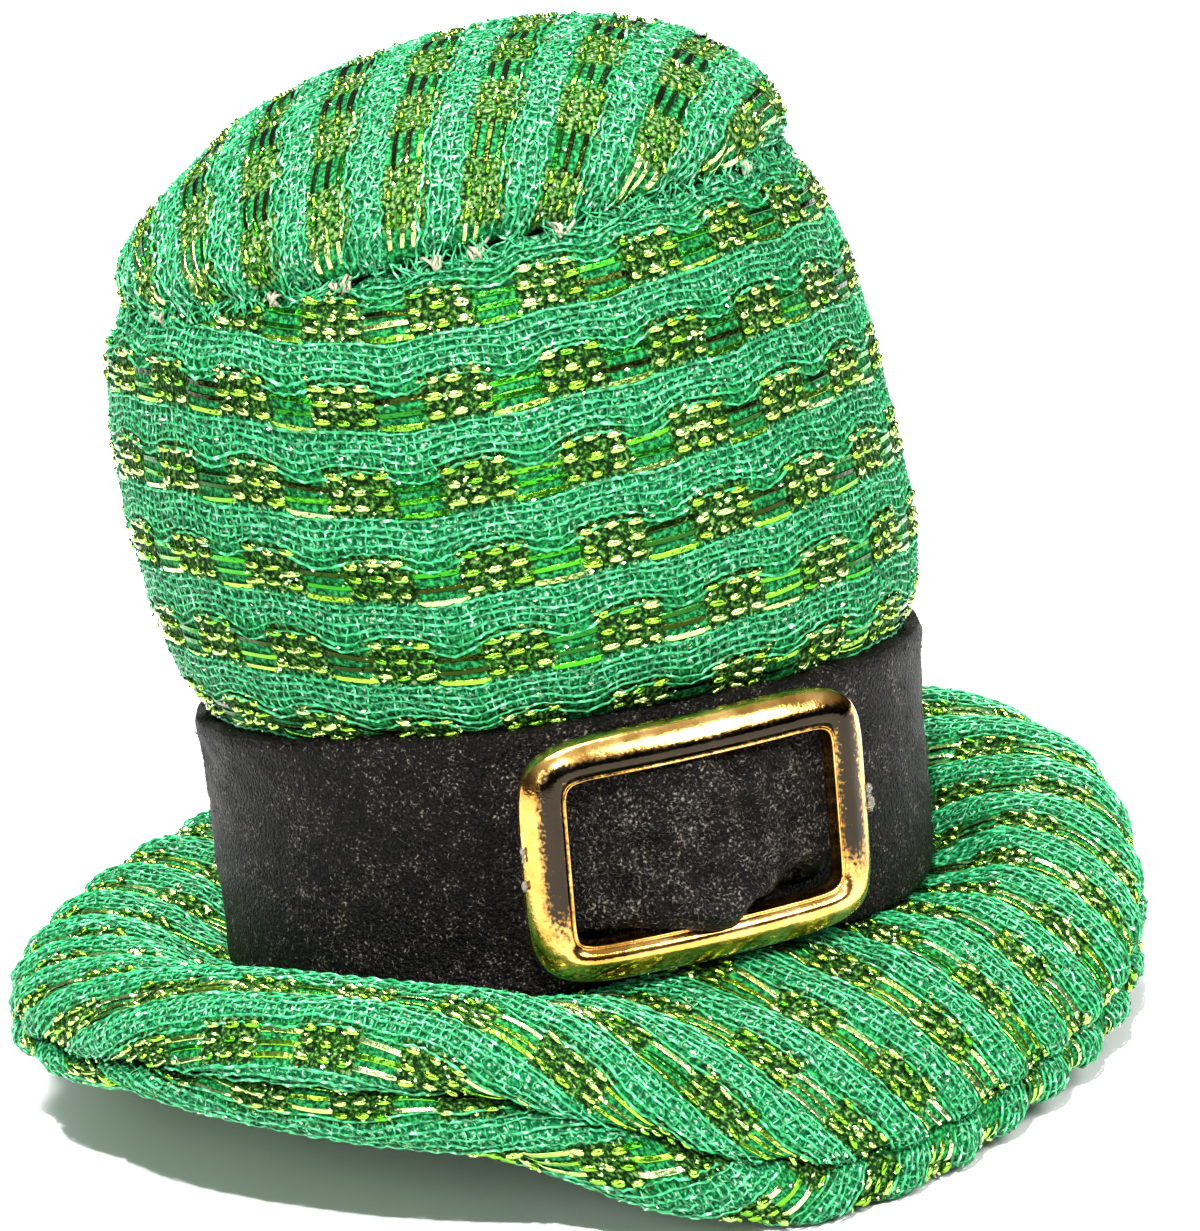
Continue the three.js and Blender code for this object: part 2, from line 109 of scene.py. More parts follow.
def ring_columns(node_name, heights, least_radius):
    """Outer points of a tube-shaped node, a column for each turn, from the lowest height upwards."""
    skin = skin_of(node_name)
    columns = np.empty((AROUND, len(heights), 3))
    for i, turn in enumerate(turns):
        last = None
        for k, height in enumerate(heights):
            sunk = foot_dip(turn) * max(1 - (height - AXIS_HEIGHT[0]) / DIP_HEIGHT, 0)
            middle, outward = ring_ray(height - sunk, turn)
            hit = struck(skin, middle, outward)
            if hit is not None and (hit - middle).length > least_radius:
                last = hit
            columns[i, k] = last
    return columns


def softened(points, passes, axis, closed):
    """Rounds off the facets in an array of points along one axis. Open ends stay where they are."""
    for _ in range(passes):
        before, after = np.roll(points, 1, axis), np.roll(points, -1, axis)
        mean = (before + 2 * points + after) / 4
        if not closed:
            ends = [slice(None)] * points.ndim
            for end in (0, -1):
                ends[axis] = end
                mean[tuple(ends)] = points[tuple(ends)]
        points = mean
    return points


def smooth_columns(columns, passes_along, passes_around):
    """Rounds off the facets along the columns, and then round the hat."""
    return softened(softened(columns, passes_along, 1, False), passes_around, 0, True)


def round_the_hat(values, turn):
    """Reads values that are known for each column, at any turn."""
    return np.interp(np.mod(turn, 1.0) * AROUND, np.arange(AROUND + 1), np.append(values, values[0]))


class Cloth:
    """A cloth on the hat: columns of points round it, evenly spaced from the cloth's first edge."""

    STEP = 0.25  # between two points of a column

    def __init__(self, columns, facing):
        runs = np.linalg.norm(np.diff(columns, axis=1), axis=2).cumsum(axis=1)
        runs = np.concatenate([np.zeros((AROUND, 1)), runs], axis=1)
        self.facing = facing
        self.length = runs[:, -1]
        self.runs = np.arange(int(self.length.max() / self.STEP) + 3) * self.STEP
        self.points = np.empty((AROUND, len(self.runs), 3))
        for i in range(AROUND):
            over = np.maximum(self.runs - self.length[i], 0)
            ending = columns[i, -1] - columns[i, -2]
            ending /= max(np.linalg.norm(ending), 1e-6)
            for axis in range(3):
                self.points[i, :, axis] = np.interp(self.runs, runs[i], columns[i, :, axis])
            self.points[i] += over[:, None] * ending
        self.find_normals()

    def find_normals(self):
        around = np.roll(self.points, -1, axis=0) - np.roll(self.points, 1, axis=0)
        along = np.gradient(self.points, axis=1)
        normals = np.cross(around, along) * self.facing
        size = np.linalg.norm(normals, axis=2, keepdims=True)
        normals = normals / np.maximum(size, 1e-9)
        if size[:, 0].max() < 1e-6:  # the columns start together at one point
            mean = normals[:, 2].mean(axis=0)
            normals[:, 0] = mean / np.linalg.norm(mean)
        self.normals = normals

    def grid(self):
        """Turn and run of every point."""
        return np.meshgrid(turns, self.runs, indexing="ij")

    def relieve(self, lift):
        """Raises the cloth by an array of heights over its points."""
        self.points = self.points + self.normals * lift[..., None]
        self.find_normals()

    def between(self, table, turn, run):
        column = np.mod(turn, 1.0) * AROUND
        row = np.clip(run / self.STEP, 0, len(self.runs) - 1.001)
        i, k = column.astype(int) % AROUND, row.astype(int)
        u, v = (column - np.floor(column))[..., None], (row - k)[..., None]
        j = (i + 1) % AROUND
        near = table[i, k] * (1 - u) + table[j, k] * u
        far = table[i, k + 1] * (1 - u) + table[j, k + 1] * u
        return near * (1 - v) + far * v

    def normal_at(self, turn, run):
        normal = self.between(self.normals, turn, run)
        return normal / np.linalg.norm(normal, axis=-1, keepdims=True)

    def at(self, turn, run, lift=0.0):
        """Points of the cloth, lifted off it."""
        lift = np.broadcast_to(lift, np.shape(turn))[..., None]
        return self.between(self.points, turn, run) + self.normal_at(turn, run) * lift

    def length_at(self, turn):
        return round_the_hat(self.length, turn)


def uneven(turn, run, size, chance):
    """Soft unevenness of about -1 to 1 from seven waves, the same again after a full turn."""
    waves = 7
    total = 0.0
    for _ in range(waves):
        lobes = chance.integers(2, 9)
        length = size * chance.uniform(0.7, 1.5)
        total = total + np.sin(FULL_TURN * (lobes * turn + run / length) + chance.uniform(*ANY_PHASE))
    return total / waves**0.5 / 1.5


def gathers(turn, run, folds, sway, size, chance):
    """Small folds that a seam draws into a cloth, from -1 to 1. They sway to the sides."""
    return np.sin(FULL_TURN * folds * turn + sway * uneven(turn, run, size, chance))


def ridge(distance, half):
    """Rise of 1 at no distance, which fades softly on both sides."""
    return np.exp(-((distance / half) ** 2))


def new_mesh(name, points, faces, material, smooth=True):
    """Mesh object from points in millimetres and arrays of faces, one array for each number of corners."""
    mesh = bpy.data.meshes.new(name)
    corners = np.concatenate([f.ravel() for f in faces]).astype(np.int32)
    sizes = np.concatenate([np.full(len(f), f.shape[1], np.int32) for f in faces])
    mesh.vertices.add(len(points))
    mesh.vertices.foreach_set("co", (np.asarray(points) * MM).astype(np.float32).ravel())
    mesh.loops.add(len(corners))
    mesh.loops.foreach_set("vertex_index", corners)
    mesh.polygons.add(len(sizes))
    mesh.polygons.foreach_set("loop_start", (np.cumsum(sizes) - sizes).astype(np.int32))
    mesh.polygons.foreach_set("use_smooth", np.full(len(sizes), smooth))
    mesh.update(calc_edges=True)
    mesh.validate()
    mesh.materials.append(material)
    obj = bpy.data.objects.new(name, mesh)
    bpy.context.scene.collection.objects.link(obj)
    return obj


def keep_amount(obj, name, amounts):
    """Keeps an amount for each point of a mesh, for its material to read."""
    layer = obj.data.attributes.new(name, "FLOAT", "POINT")
    layer.data.foreach_set("value", amounts.astype(np.float32))


def keep_plan(obj, plan):
    """Keeps each corner's place on the flat cloth, in millimetres, as a UV map."""
    mesh = obj.data
    layer = mesh.uv_layers.new(name="flat_cloth")
    index = np.empty(len(mesh.loops), np.int32)
    mesh.loops.foreach_get("vertex_index", index)
    layer.data.foreach_set("uv", plan[index].astype(np.float32).ravel())


def ring_faces(columns, rows, closed_rows):
    """Four-cornered faces of a grid that is closed round the hat, point number row * columns + column."""
    last = rows if closed_rows else rows - 1
    column, row = np.meshgrid(np.arange(columns), np.arange(last))
    after, up = (column + 1) % columns, (row + 1) % rows
    corners = [row * columns + column, row * columns + after, up * columns + after, up * columns + column]
    return np.stack(corners, axis=-1).reshape(-1, 4)


def finish(name, **values):
    """Material with one Principled shader, and the values set on the shader's own sockets."""
    material = bpy.data.materials.new(name)
    material.use_nodes = True
    tree = material.node_tree
    shader = tree.nodes["Principled BSDF"]
    for socket, value in values.items():
        shader.inputs[socket.replace("_", " ")].default_value = value
    return material, tree, shader


def node(tree, kind, settings=(), **inputs):
    """Adds a shader node, sets its settings, and sets or links its inputs by name or number."""
    made = tree.nodes.new("ShaderNode" + kind)
    for name, value in dict(settings).items():
        setattr(made, name, value)
    for key, value in inputs.items():
        socket = made.inputs[int(key[1:])] if key[1:].isdigit() else made.inputs[key]
        if isinstance(value, bpy.types.NodeSocket):
            tree.links.new(value, socket)
        else:
            socket.default_value = value
    return made


def own_place(tree):
    """Place on the piece in metres, which stays with it."""
    return node(tree, "TexCoord").outputs["Object"]


def noise(tree, place, scale, detail, roughness=0.5, settings=()):
    inputs = {"Vector": place, "Scale": scale, "Detail": detail, "Roughness": roughness}
    return node(tree, "TexNoise", settings, **inputs).outputs[0]


def kept_amount(tree, name):
    return node(tree, "Attribute", {"attribute_name": name}).outputs["Fac"]


def reckoned(tree, operation, *values):
    """Result of an operation on amounts, each a number or a socket."""
    inputs = {f"i{number}": value for number, value in enumerate(values)}
    return node(tree, "Math", {"operation": operation}, **inputs).outputs[0]


def ranged(tree, amount, low, high, first, last, settings=()):
    """Goes from the first value to the last while an amount goes from low to high."""
    return node(tree, "MapRange", settings, i0=amount, i1=low, i2=high, i3=first, i4=last).outputs[0]


def colour_steps(tree, amount, steps):
    """Colour ramp over an amount, from pairs of place and colour."""
    ramp = node(tree, "ValToRGB", i0=amount)
    while len(ramp.color_ramp.elements) < len(steps):
        ramp.color_ramp.elements.new(0.5)
    for element, (place, colour) in zip(ramp.color_ramp.elements, steps):
        element.position = place
        element.color = (*colour, 1.0)
    return ramp.outputs[0]


def mixed(tree, amount, first, second):
    """Colour between two others, each a colour or a socket."""
    mix = node(tree, "Mix", {"data_type": "RGBA"}, i0=amount)
    for socket, value in ((mix.inputs[6], first), (mix.inputs[7], second)):
        if isinstance(value, bpy.types.NodeSocket):
            tree.links.new(value, socket)
        else:
            socket.default_value = (*value, 1.0)
    return mix.outputs[2]


def coloured(tree, shader, colour):
    tree.links.new(colour, shader.inputs["Base Color"])


def bumped(tree, shader, height, strength, distance):
    bump = node(tree, "Bump", Strength=strength, Distance=distance, Height=height)
    tree.links.new(bump.outputs[0], shader.inputs["Normal"])


STRIPE = 4.65  # from one stripe of tapes to the next
STRIPE_HALF = 1.42  # half the height of a stripe
BLOCK = 6.35  # from one block of tape loops to the next, along the stripe
BLOCK_HALF = 2.0
WALL_BLOCKS = 21  # round the crown


def ground_finish(name, stripe_start, block_start, light=0.0):
    """Cloth behind the threads: emerald gauze ground with pale foam showing, dark olive under the tapes.

    More light makes the olive parts paler: painted light, for the tip that is lit from above.
    """
    material, tree, shader = finish(name, Roughness=0.8, Specular_IOR_Level=0.1)
    flat = node(tree, "UVMap", {"uv_map": "flat_cloth"}).outputs[0]
    along, across, _ = node(tree, "SeparateXYZ", i0=flat).outputs

    def within(place, start, pitch, half):
        """1 on the parts that repeat at a pitch, 0 between them, with soft edges."""
        distance = reckoned(tree, "PINGPONG", reckoned(tree, "SUBTRACT", place, start), pitch / 2)
        soft = {"interpolation_type": "SMOOTHSTEP"}
        return ranged(tree, distance, half - 0.22, half + 0.18, 1.0, 0.0, soft)

    in_stripe = within(across, stripe_start, STRIPE, STRIPE_HALF)
    in_block = within(along, block_start, BLOCK, BLOCK_HALF)
    fine = noise(tree, flat, 3.6, 2.0, 0.6, {"noise_dimensions": "2D"})
    emerald = [(0.40, (0.001, 0.05, 0.014)), (0.51, (0.004, 0.15, 0.045)), (0.6, (0.03, 0.27, 0.1))]
    olive = [(0.42, (0.001, 0.008, 0.0005)), (0.52, (0.006, 0.04, 0.003)), (0.62, (0.03, 0.15, 0.01))]
    green = [(0.40, (0.001, 0.035, 0.008)), (0.52, (0.004, 0.13, 0.03)), (0.62, (0.02, 0.26, 0.06))]
    gauze = colour_steps(tree, fine, emerald + [(0.67, (0.32, 0.46, 0.32))])
    # painted light: the olive steps move down by the amount of light, so the olive comes out paler
    olive = [(step - light, colour) for step, colour in olive + [(0.7, (0.16, 0.22, 0.09))]]
    stripe = mixed(tree, in_block, colour_steps(tree, fine, green), colour_steps(tree, fine, olive))
    coloured(tree, shader, mixed(tree, in_stripe, gauze, stripe))
    net = node(tree, "TexVoronoi", {"voronoi_dimensions": "2D"}, Vector=flat, Scale=2.2)
    bumped(tree, shader, net.outputs[0], 0.7, 0.00025)
    return material


def foam_finish():
    """Pale green foam on the back of the cloth, with open pores."""
    material, tree, shader = finish("foam_backing", Roughness=0.9)
    pores = node(tree, "TexVoronoi", Vector=own_place(tree), Scale=2600.0).outputs[0]
    # painted shade: the pores are darker in their middles
    shades = [(0.0, (0.05, 0.16, 0.08)), (0.6, (0.30, 0.46, 0.33))]
    coloured(tree, shader, colour_steps(tree, pores, shades))
    bumped(tree, shader, pores, 0.6, 0.0002)
    return material


def on_hat(obj):
    """The piece stays with the hat, which has no moving parts."""
    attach(obj, "root")


BODY_COLUMNS = 192
foam = foam_finish()


def cloth_body(name, cloth, shares, overlap, plan_of, ground, domed):
    """Closed body of a cloth: out along its face, and back along the foam inside.

    A tube is open in the middle. A domed cloth starts at a point, and so does its inside.
    """
    column, share = np.meshgrid(np.arange(BODY_COLUMNS) / BODY_COLUMNS, shares)
    run = share * (cloth.length_at(column) + overlap)
    outer = cloth.at(column, run, UNDER_THREADS)
    inner = cloth.at(column, run, -CLOTH_THICKNESS)[::-1]
    rows = 2 * len(shares)
    points = np.concatenate([outer, inner]).reshape(-1, 3)
    plan = plan_of(column, run)
    plan = np.concatenate([plan, plan[::-1]]).reshape(-1, 2)
    faces = [ring_faces(BODY_COLUMNS, rows, not domed)]
    inside = np.arange(len(faces[0])) >= len(shares) * BODY_COLUMNS
    if domed:
        here = np.arange(BODY_COLUMNS)
        after = (here + 1) % BODY_COLUMNS
        last_row = (rows - 1) * BODY_COLUMNS
        top = np.full(BODY_COLUMNS, rows * BODY_COLUMNS)
        outer_cap = np.stack([here, after, top], axis=-1)
        inner_cap = np.stack([last_row + after, last_row + here, top + 1], axis=-1)
        faces = [faces[0][:, ::-1], outer_cap, inner_cap]
        inside = np.concatenate([inside, np.zeros(BODY_COLUMNS, bool), np.ones(BODY_COLUMNS, bool)])
        points = np.concatenate([points, [outer[0].mean(axis=0), inner[-1].mean(axis=0)]])
        plan = np.concatenate([plan, np.zeros((2, 2))])
    obj = new_mesh(name, points, faces, ground)
    keep_plan(obj, plan)
    obj.data.materials.append(foam)
    obj.data.polygons.foreach_set("material_index", inside.astype(np.int32))
    return obj


WALL_RINGS = np.linspace(8.2, 45.95, 150)  # heights at which the wall is measured
WALL_ROWS = 52
WALL_STRIPE_START = 15.9  # run of the first stripe's middle, just over the band
WALL_BLOCK_START = 0.318 * BLOCK
DROOP_TURN, DROOP_HALF, DROOP_DEPTH = 0.645, 0.055, 0.8
SEAM_FOLDS = 46  # gathers round the seam under the tip
SEAM_OVERLAP = 0.5  # the wall runs on into the groove of the seam

wall = Cloth(smooth_columns(ring_columns("crown_side", WALL_RINGS, 16.0), 40, 14), 1.0)
chance = np.random.default_rng(17)


def droop(turn):
    """The stripes hang lower on the front left, where the soft wall has slipped down."""
    return DROOP_DEPTH * ridge(np.mod(turn, 1.0) - DROOP_TURN, DROOP_HALF)


def wall_plan(turn, run):
    """Place of the wall's points on the flat cloth: along the stripes and across them."""
    return np.stack([turn * WALL_BLOCKS * BLOCK, run + droop(turn)], axis=-1)


wall_turn, wall_run = wall.grid()
to_seam = np.maximum(wall.length[:, None] - wall_run, 0)
seam_gathers = gathers(wall_turn, wall_run, SEAM_FOLDS, 2.5, 9.0, chance) * np.exp(-to_seam / 1.8)
stripe_swell = 0.05 * np.cos(FULL_TURN * (wall_run - WALL_STRIPE_START) / STRIPE)
wall.relieve(0.14 * uneven(wall_turn, wall_run, 13.0, chance) + stripe_swell + 0.24 * seam_gathers)

wall_ground = ground_finish("wall_ground", WALL_STRIPE_START, WALL_BLOCK_START)
wall_shares = np.linspace(0.0, 1.0, WALL_ROWS)
wall_body = cloth_body("crown_side_cloth", wall, wall_shares, SEAM_OVERLAP, wall_plan, wall_ground, False)
on_hat(wall_body)
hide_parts("crown_side")


# Crown wall: metallic tapes and gauze threads
# Three narrow foil tapes run in each stripe. Warp threads tie them down into blocks of nine short loops,
# and between the blocks they lie free as floats. Fine wavy threads make the gauze between the stripes.

# Sizes along the tape, across it and in height
LOOP_SIZE = (1.12, 0.5, 0.27)
FLOAT_SIZE = (2.9, 0.32, 0.04)
FLECK_SIZE = (0.14, 0.1, 0.04)
LOOP_APART = (1.28, 0.88)  # the nine loops of a block, along and across
FLOAT_APART = 0.74
FLOAT_ARCH = 0.18
FLOAT_ENDS_DIP = 0.12  # into the cloth
FLECK_LIFT = 0.2
FLECKS_PER_BLOCK = 20  # three in four of them lie among the loops
TAPE_STRAY = 0.05  # of loops and floats from their places
LOOP_SIDES = 10
FLOAT_STATIONS = 7


@dataclass
class Weave:
    """How the striped cloth lies on one piece, in places along and across the flat cloth."""

    stripes: np.ndarray  # middles of the stripes
    block_start: float  # middle of one block
    block_numbers: range
    span: tuple  # of the gauze threads, along the stripes
    sag: float  # of the threads and floats between two blocks
    float_light_tones: tuple  # painted light and shade of the floats, from the lowest tape to the highest
    loop_part: float  # size of the loops as a part of the full size; smaller loops also get painted shade, a darker tone
    frizz: float  # how far the gauze threads stray
    seeds: tuple  # for the tapes and for the gauze
    painted_lit_rim: float = 0.0  # floats within this distance of the seam get a bright tone, a painted highlight

    def blocks(self):
        middles = [(self.block_start + BLOCK * n, s) for s in self.stripes for n in self.block_numbers]
        return np.array(middles)

    def hang(self, along, share=1.0):
        """How far the threads and floats hang down between two blocks."""
        wave = 0.5 - 0.5 * np.cos(FULL_TURN * (along - self.block_start) / BLOCK)
        return self.sag * share * wave**1.5


def loop_form():
    """Low pillow, the loop of a tape between two tying threads: points from -1 to 1 and its faces."""
    here = np.arange(LOOP_SIDES)
    after = (here + 1) % LOOP_SIDES
    spin = FULL_TURN * here / LOOP_SIDES
    oblong = np.stack([np.sign(np.cos(spin)) * np.abs(np.cos(spin)) ** 0.7, np.sin(spin)], axis=-1)
    foot = np.column_stack([oblong, np.full(LOOP_SIDES, -0.35)])
    belly = np.column_stack([oblong * 0.8, np.full(LOOP_SIDES, 0.55)])
    points = np.concatenate([foot, belly, [[0.0, 0.0, 1.0]]])
    wall_faces = np.stack([here, after, after + LOOP_SIDES, here + LOOP_SIDES], axis=-1)
    top = np.full(LOOP_SIDES, 2 * LOOP_SIDES)
    top_faces = np.stack([here + LOOP_SIDES, after + LOOP_SIDES, top], axis=-1)
    return points, [wall_faces, top_faces, here[::-1][None, :]]


def float_form():
    """Straight flat tape with slanting edges: points from -1 to 1 and its faces."""
    section = np.array([[-1.0, 0.0], [-0.7, 1.0], [0.7, 1.0], [1.0, 0.0]])
    along = np.linspace(-1, 1, FLOAT_STATIONS)
    points = np.array([[x, y, z] for x in along for y, z in section])
    ends = np.array([[3, 2, 1, 0], np.arange(4) + 4 * (FLOAT_STATIONS - 1)])
    return points, [ring_faces(4, FLOAT_STATIONS, False), ends]


def fleck_form():
    """Small flat chip of foil with eight faces: points from -1 to 1 and its faces."""
    points = np.array([(1, 0, 0), (0, 1, 0), (-1, 0, 0), (0, -1, 0), (0, 0, 1), (0, 0, -1)], float)
    above = [(i, (i + 1) % 4, 4) for i in range(4)]
    below = [((i + 1) % 4, i, 5) for i in range(4)]
    return points, [np.array(above + below)]


def copies(form_faces, form_size, count):
    """Faces of many copies of a form, one after the other."""
    starts = np.arange(count) * form_size
    return [(f[None, :, :] + starts[:, None, None]).reshape(-1, f.shape[1]) for f in form_faces]


def foil_finish():
    """Lime foil, a little crumpled; each loop has its own tone between yellow-green, lime and green, and
    the floats' tones carry painted light and shade.
    """
    material, tree, shader = finish("lime_foil", Metallic=1.0, Roughness=0.24)
    dark = [(0.0, (0.018, 0.03, 0.004)), (0.1, (0.012, 0.1, 0.014)), (0.3, (0.03, 0.26, 0.012))]
    lime = [(0.6, (0.23, 0.44, 0.035)), (0.88, (0.46, 0.64, 0.23)), (1.0, (0.5, 0.75, 0.42))]
    coloured(tree, shader, colour_steps(tree, kept_amount(tree, "tone"), dark + lime))
    bumped(tree, shader, noise(tree, own_place(tree), 3400.0, 1.0), 0.6, 0.00012)
    return material


def thread_finish(name, lint):
    """Shiny green yarn, lighter and darker along its length, with more or less pale lint."""
    material, tree, shader = finish(name, Roughness=0.42, Specular_IOR_Level=0.5)
    patches = noise(tree, own_place(tree), 2600.0, 2.0, 0.6)
    emerald = [(0.38, (0.002, 0.09, 0.025)), (0.5, (0.008, 0.27, 0.08)), (0.6, (0.04, 0.44, 0.17))]
    coloured(tree, shader, colour_steps(tree, patches, emerald + [(0.7 - lint, (0.36, 0.62, 0.42))]))
    return material


foil = foil_finish()
yarn = thread_finish("gauze_yarn", 0.0)


def tape_places(cloth, place, weave, chance):
    """Where the loops and floats lie on the flat cloth, each float's tone with its painted light and
    shade, and part of the length.
    """
    blocks = weave.blocks()
    nine = np.array([(x, y) for x in (-1, 0, 1) for y in (-1, 0, 1)], float) * LOOP_APART
    loops = (blocks[:, None, :] + nine).reshape(-1, 2)
    three = np.array([(BLOCK / 2, y * FLOAT_APART) for y in (-1, 0, 1)])
    floats = (blocks[:, None, :] + three).reshape(-1, 2)
    floats[:, 1] -= weave.hang(floats[:, 0])
    # painted light and shade: each float row gets a set tone, bright where it would catch the light, dark
    # where it would mirror dark surroundings
    tone = np.tile(weave.float_light_tones, len(blocks)) + chance.normal(0, 0.2, len(floats))
    loops = loops + chance.normal(0, TAPE_STRAY, loops.shape)
    floats = floats + chance.normal(0, TAPE_STRAY, floats.shape)
    loops = loops[place(loops[:, 0], loops[:, 1], 0.25)[2]]

    # A float that a seam cuts off is half as long and keeps to its own side
    stations = [floats[:, 0] + share * FLOAT_SIZE[0] for share in (-0.45, 0.0, 0.45)]
    left, middle, right = [place(along, floats[:, 1], 0.1)[2] for along in stations]
    whole = left & middle & right
    from_left, from_right = left & middle & ~right, right & middle & ~left
    floats[:, 0] += 0.25 * FLOAT_SIZE[0] * (from_right.astype(float) - from_left)
    part = np.where(whole, 1.0, 0.5)
    keep = whole | from_left | from_right
    floats, tone, part = floats[keep], np.clip(tone[keep], 0, 0.9), part[keep, None]
    turn, run, _ = place(floats[:, 0], floats[:, 1], 0.0)
    # painted highlight: floats near the tip's seam are made bright
    tone[cloth.length_at(turn) - run < weave.painted_lit_rim] = 0.8
    return loops, floats, tone, part


def fleck_places(place, blocks, chance):
    """Where the flecks of foil lie on the flat cloth, and their tones."""
    spread = chance.uniform(-1, 1, (len(blocks), FLECKS_PER_BLOCK, 2))
    anywhere = np.arange(FLECKS_PER_BLOCK) % 4 == 0
    spread *= np.where(anywhere[:, None], (BLOCK / 2, STRIPE / 2), (BLOCK_HALF, STRIPE_HALF))
    flecks = (blocks[:, None, :] + spread).reshape(-1, 2)
    tone = np.tile(np.where(anywhere, 1.0, 0.8), len(blocks))
    keep = place(flecks[:, 0], flecks[:, 1], 0.1)[2]
    return flecks[keep], tone[keep]


def tape_piece(name, cloth, place, weave):
    """All loops, floats and flecks of a cloth as one mesh."""
    chance = np.random.default_rng(weave.seeds[0])
    loop, loop_faces = loop_form()
    tape, tape_faces = float_form()
    chip, chip_faces = fleck_form()
    loops, floats, float_light_tone, float_part = tape_places(cloth, place, weave, chance)

    def laid(middles, along, across, lift):
        turn, run, _ = place(middles[:, :1] + along, middles[:, 1:] + across, 0.0)
        return cloth.at(turn, run, lift).reshape(-1, 3)

    full_size = weave.loop_part * np.array(LOOP_SIZE)
    size = full_size * chance.uniform(0.8, 1.15, (len(loops), 3)) / (2, 2, 1)
    tilt = chance.normal(0, 0.22, (len(loops), 2))
    along, across = loop[:, 0] * size[:, :1], loop[:, 1] * size[:, 1:2]
    lift = loop[:, 2] * size[:, 2:] + tilt[:, :1] * along + tilt[:, 1:] * across
    loop_points = laid(loops, along, across, lift)

    size = np.array(FLOAT_SIZE) * chance.uniform(0.9, 1.1, (len(floats), 3)) / (2, 2, 1)
    size[:, :1] *= float_part
    skew = chance.normal(0, 0.03, (len(floats), 1))
    roll = chance.normal(0, 0.12, (len(floats), 1))
    along, across = tape[:, 0] * size[:, :1], tape[:, 1] * size[:, 1:2]
    arch = FLOAT_ARCH * (1 - tape[:, 0] ** 4) - FLOAT_ENDS_DIP
    lift = arch + tape[:, 2] * size[:, 2:] + roll * across
    float_points = laid(floats, along, across + skew * along, lift)

    flecks, fleck_tone = fleck_places(place, weave.blocks(), chance)
    lean = chance.normal(0, 0.45, (len(flecks), 2))
    along, across = chip[:, 0] * FLECK_SIZE[0], chip[:, 1] * FLECK_SIZE[1]
    lift = FLECK_LIFT + chip[:, 2] * FLECK_SIZE[2] + lean[:, :1] * along + lean[:, 1:] * across
    fleck_points = laid(flecks, along, across, lift)

    forms = ((loop, loop_faces, loops), (tape, tape_faces, floats), (chip, chip_faces, flecks))
    faces, smooth, start = [], [], 0
    for form, form_faces, middles in forms:
        for part in copies(form_faces, len(form), len(middles)):
            faces.append(part + start)
            smooth.append(np.full(len(part), form is loop))
        start += len(form) * len(middles)
    points = np.concatenate([loop_points, float_points, fleck_points])
    obj = new_mesh(name, points, faces, foil, np.concatenate(smooth))
    # painted shade: smaller loops, as on the tip, get a darker tone
    loop_tone = 0.35 + 0.5 * chance.beta(2.0, 1.3, len(loops)) - 0.5 * (1 - weave.loop_part)
    tones = zip((loop_tone, float_light_tone, fleck_tone), (loop, tape, chip))
    keep_amount(obj, "tone", np.concatenate([np.repeat(tone, len(form)) for tone, form in tones]))
    on_hat(obj)


def strands(points, normals, keep, radius, sides):
    """Tubes along rows of points, broken where keep is false: points and faces."""
    made, quads, caps, count = [], [], [], 0
    spin = FULL_TURN * np.arange(sides) / sides
    cosine, sine = np.cos(spin)[None, :, None], np.sin(spin)[None, :, None]
    radius = np.broadcast_to(radius, points.shape[:2])
    for row_points, row_normals, row_keep, row_radius in zip(points, normals, keep, radius):
        edges = np.flatnonzero(np.diff(np.concatenate([[0], row_keep.astype(int), [0]])))
        for start, stop in zip(edges[::2], edges[1::2]):
            length = stop - start
            if length < 3:
                continue
            middle = row_points[start:stop]
            ahead = np.gradient(middle, axis=0)
            aside = np.cross(ahead, row_normals[start:stop])
            aside /= np.linalg.norm(aside, axis=1, keepdims=True)
            up = np.cross(aside, ahead)
            up /= np.linalg.norm(up, axis=1, keepdims=True)
            ring = cosine * aside[:, None] + sine * up[:, None]
            made.append((middle[:, None] + row_radius[start:stop, None, None] * ring).reshape(-1, 3))
            quads.append(ring_faces(sides, length, False)[:, ::-1] + count)
            first_ring = np.arange(sides)
            last_ring = first_ring[::-1] + (length - 1) * sides
            caps.append(np.stack([first_ring, last_ring]) + count)
            count += length * sides
    return np.concatenate(made), np.concatenate(quads), np.concatenate(caps)


WARP_APART = BLOCK / 10
WARP_RADIUS = 0.055
WARP_REACH = 1.05  # from the middle of the gauze to both sides
WARP_LIFTS = (-0.04, 0.1, 0.06, 0.1, 0.06, -0.04)  # over and under the wefts
WEFTS = 6  # threads between two stripes, the lowest of them at the loops' upper edge
WEFT_APART = 0.42
WEFT_RADIUS = 0.07


def hang_share(level):
    """The threads over the middle of the gauze hang less, and those under it more."""
    return 0.65 - 0.42 * level


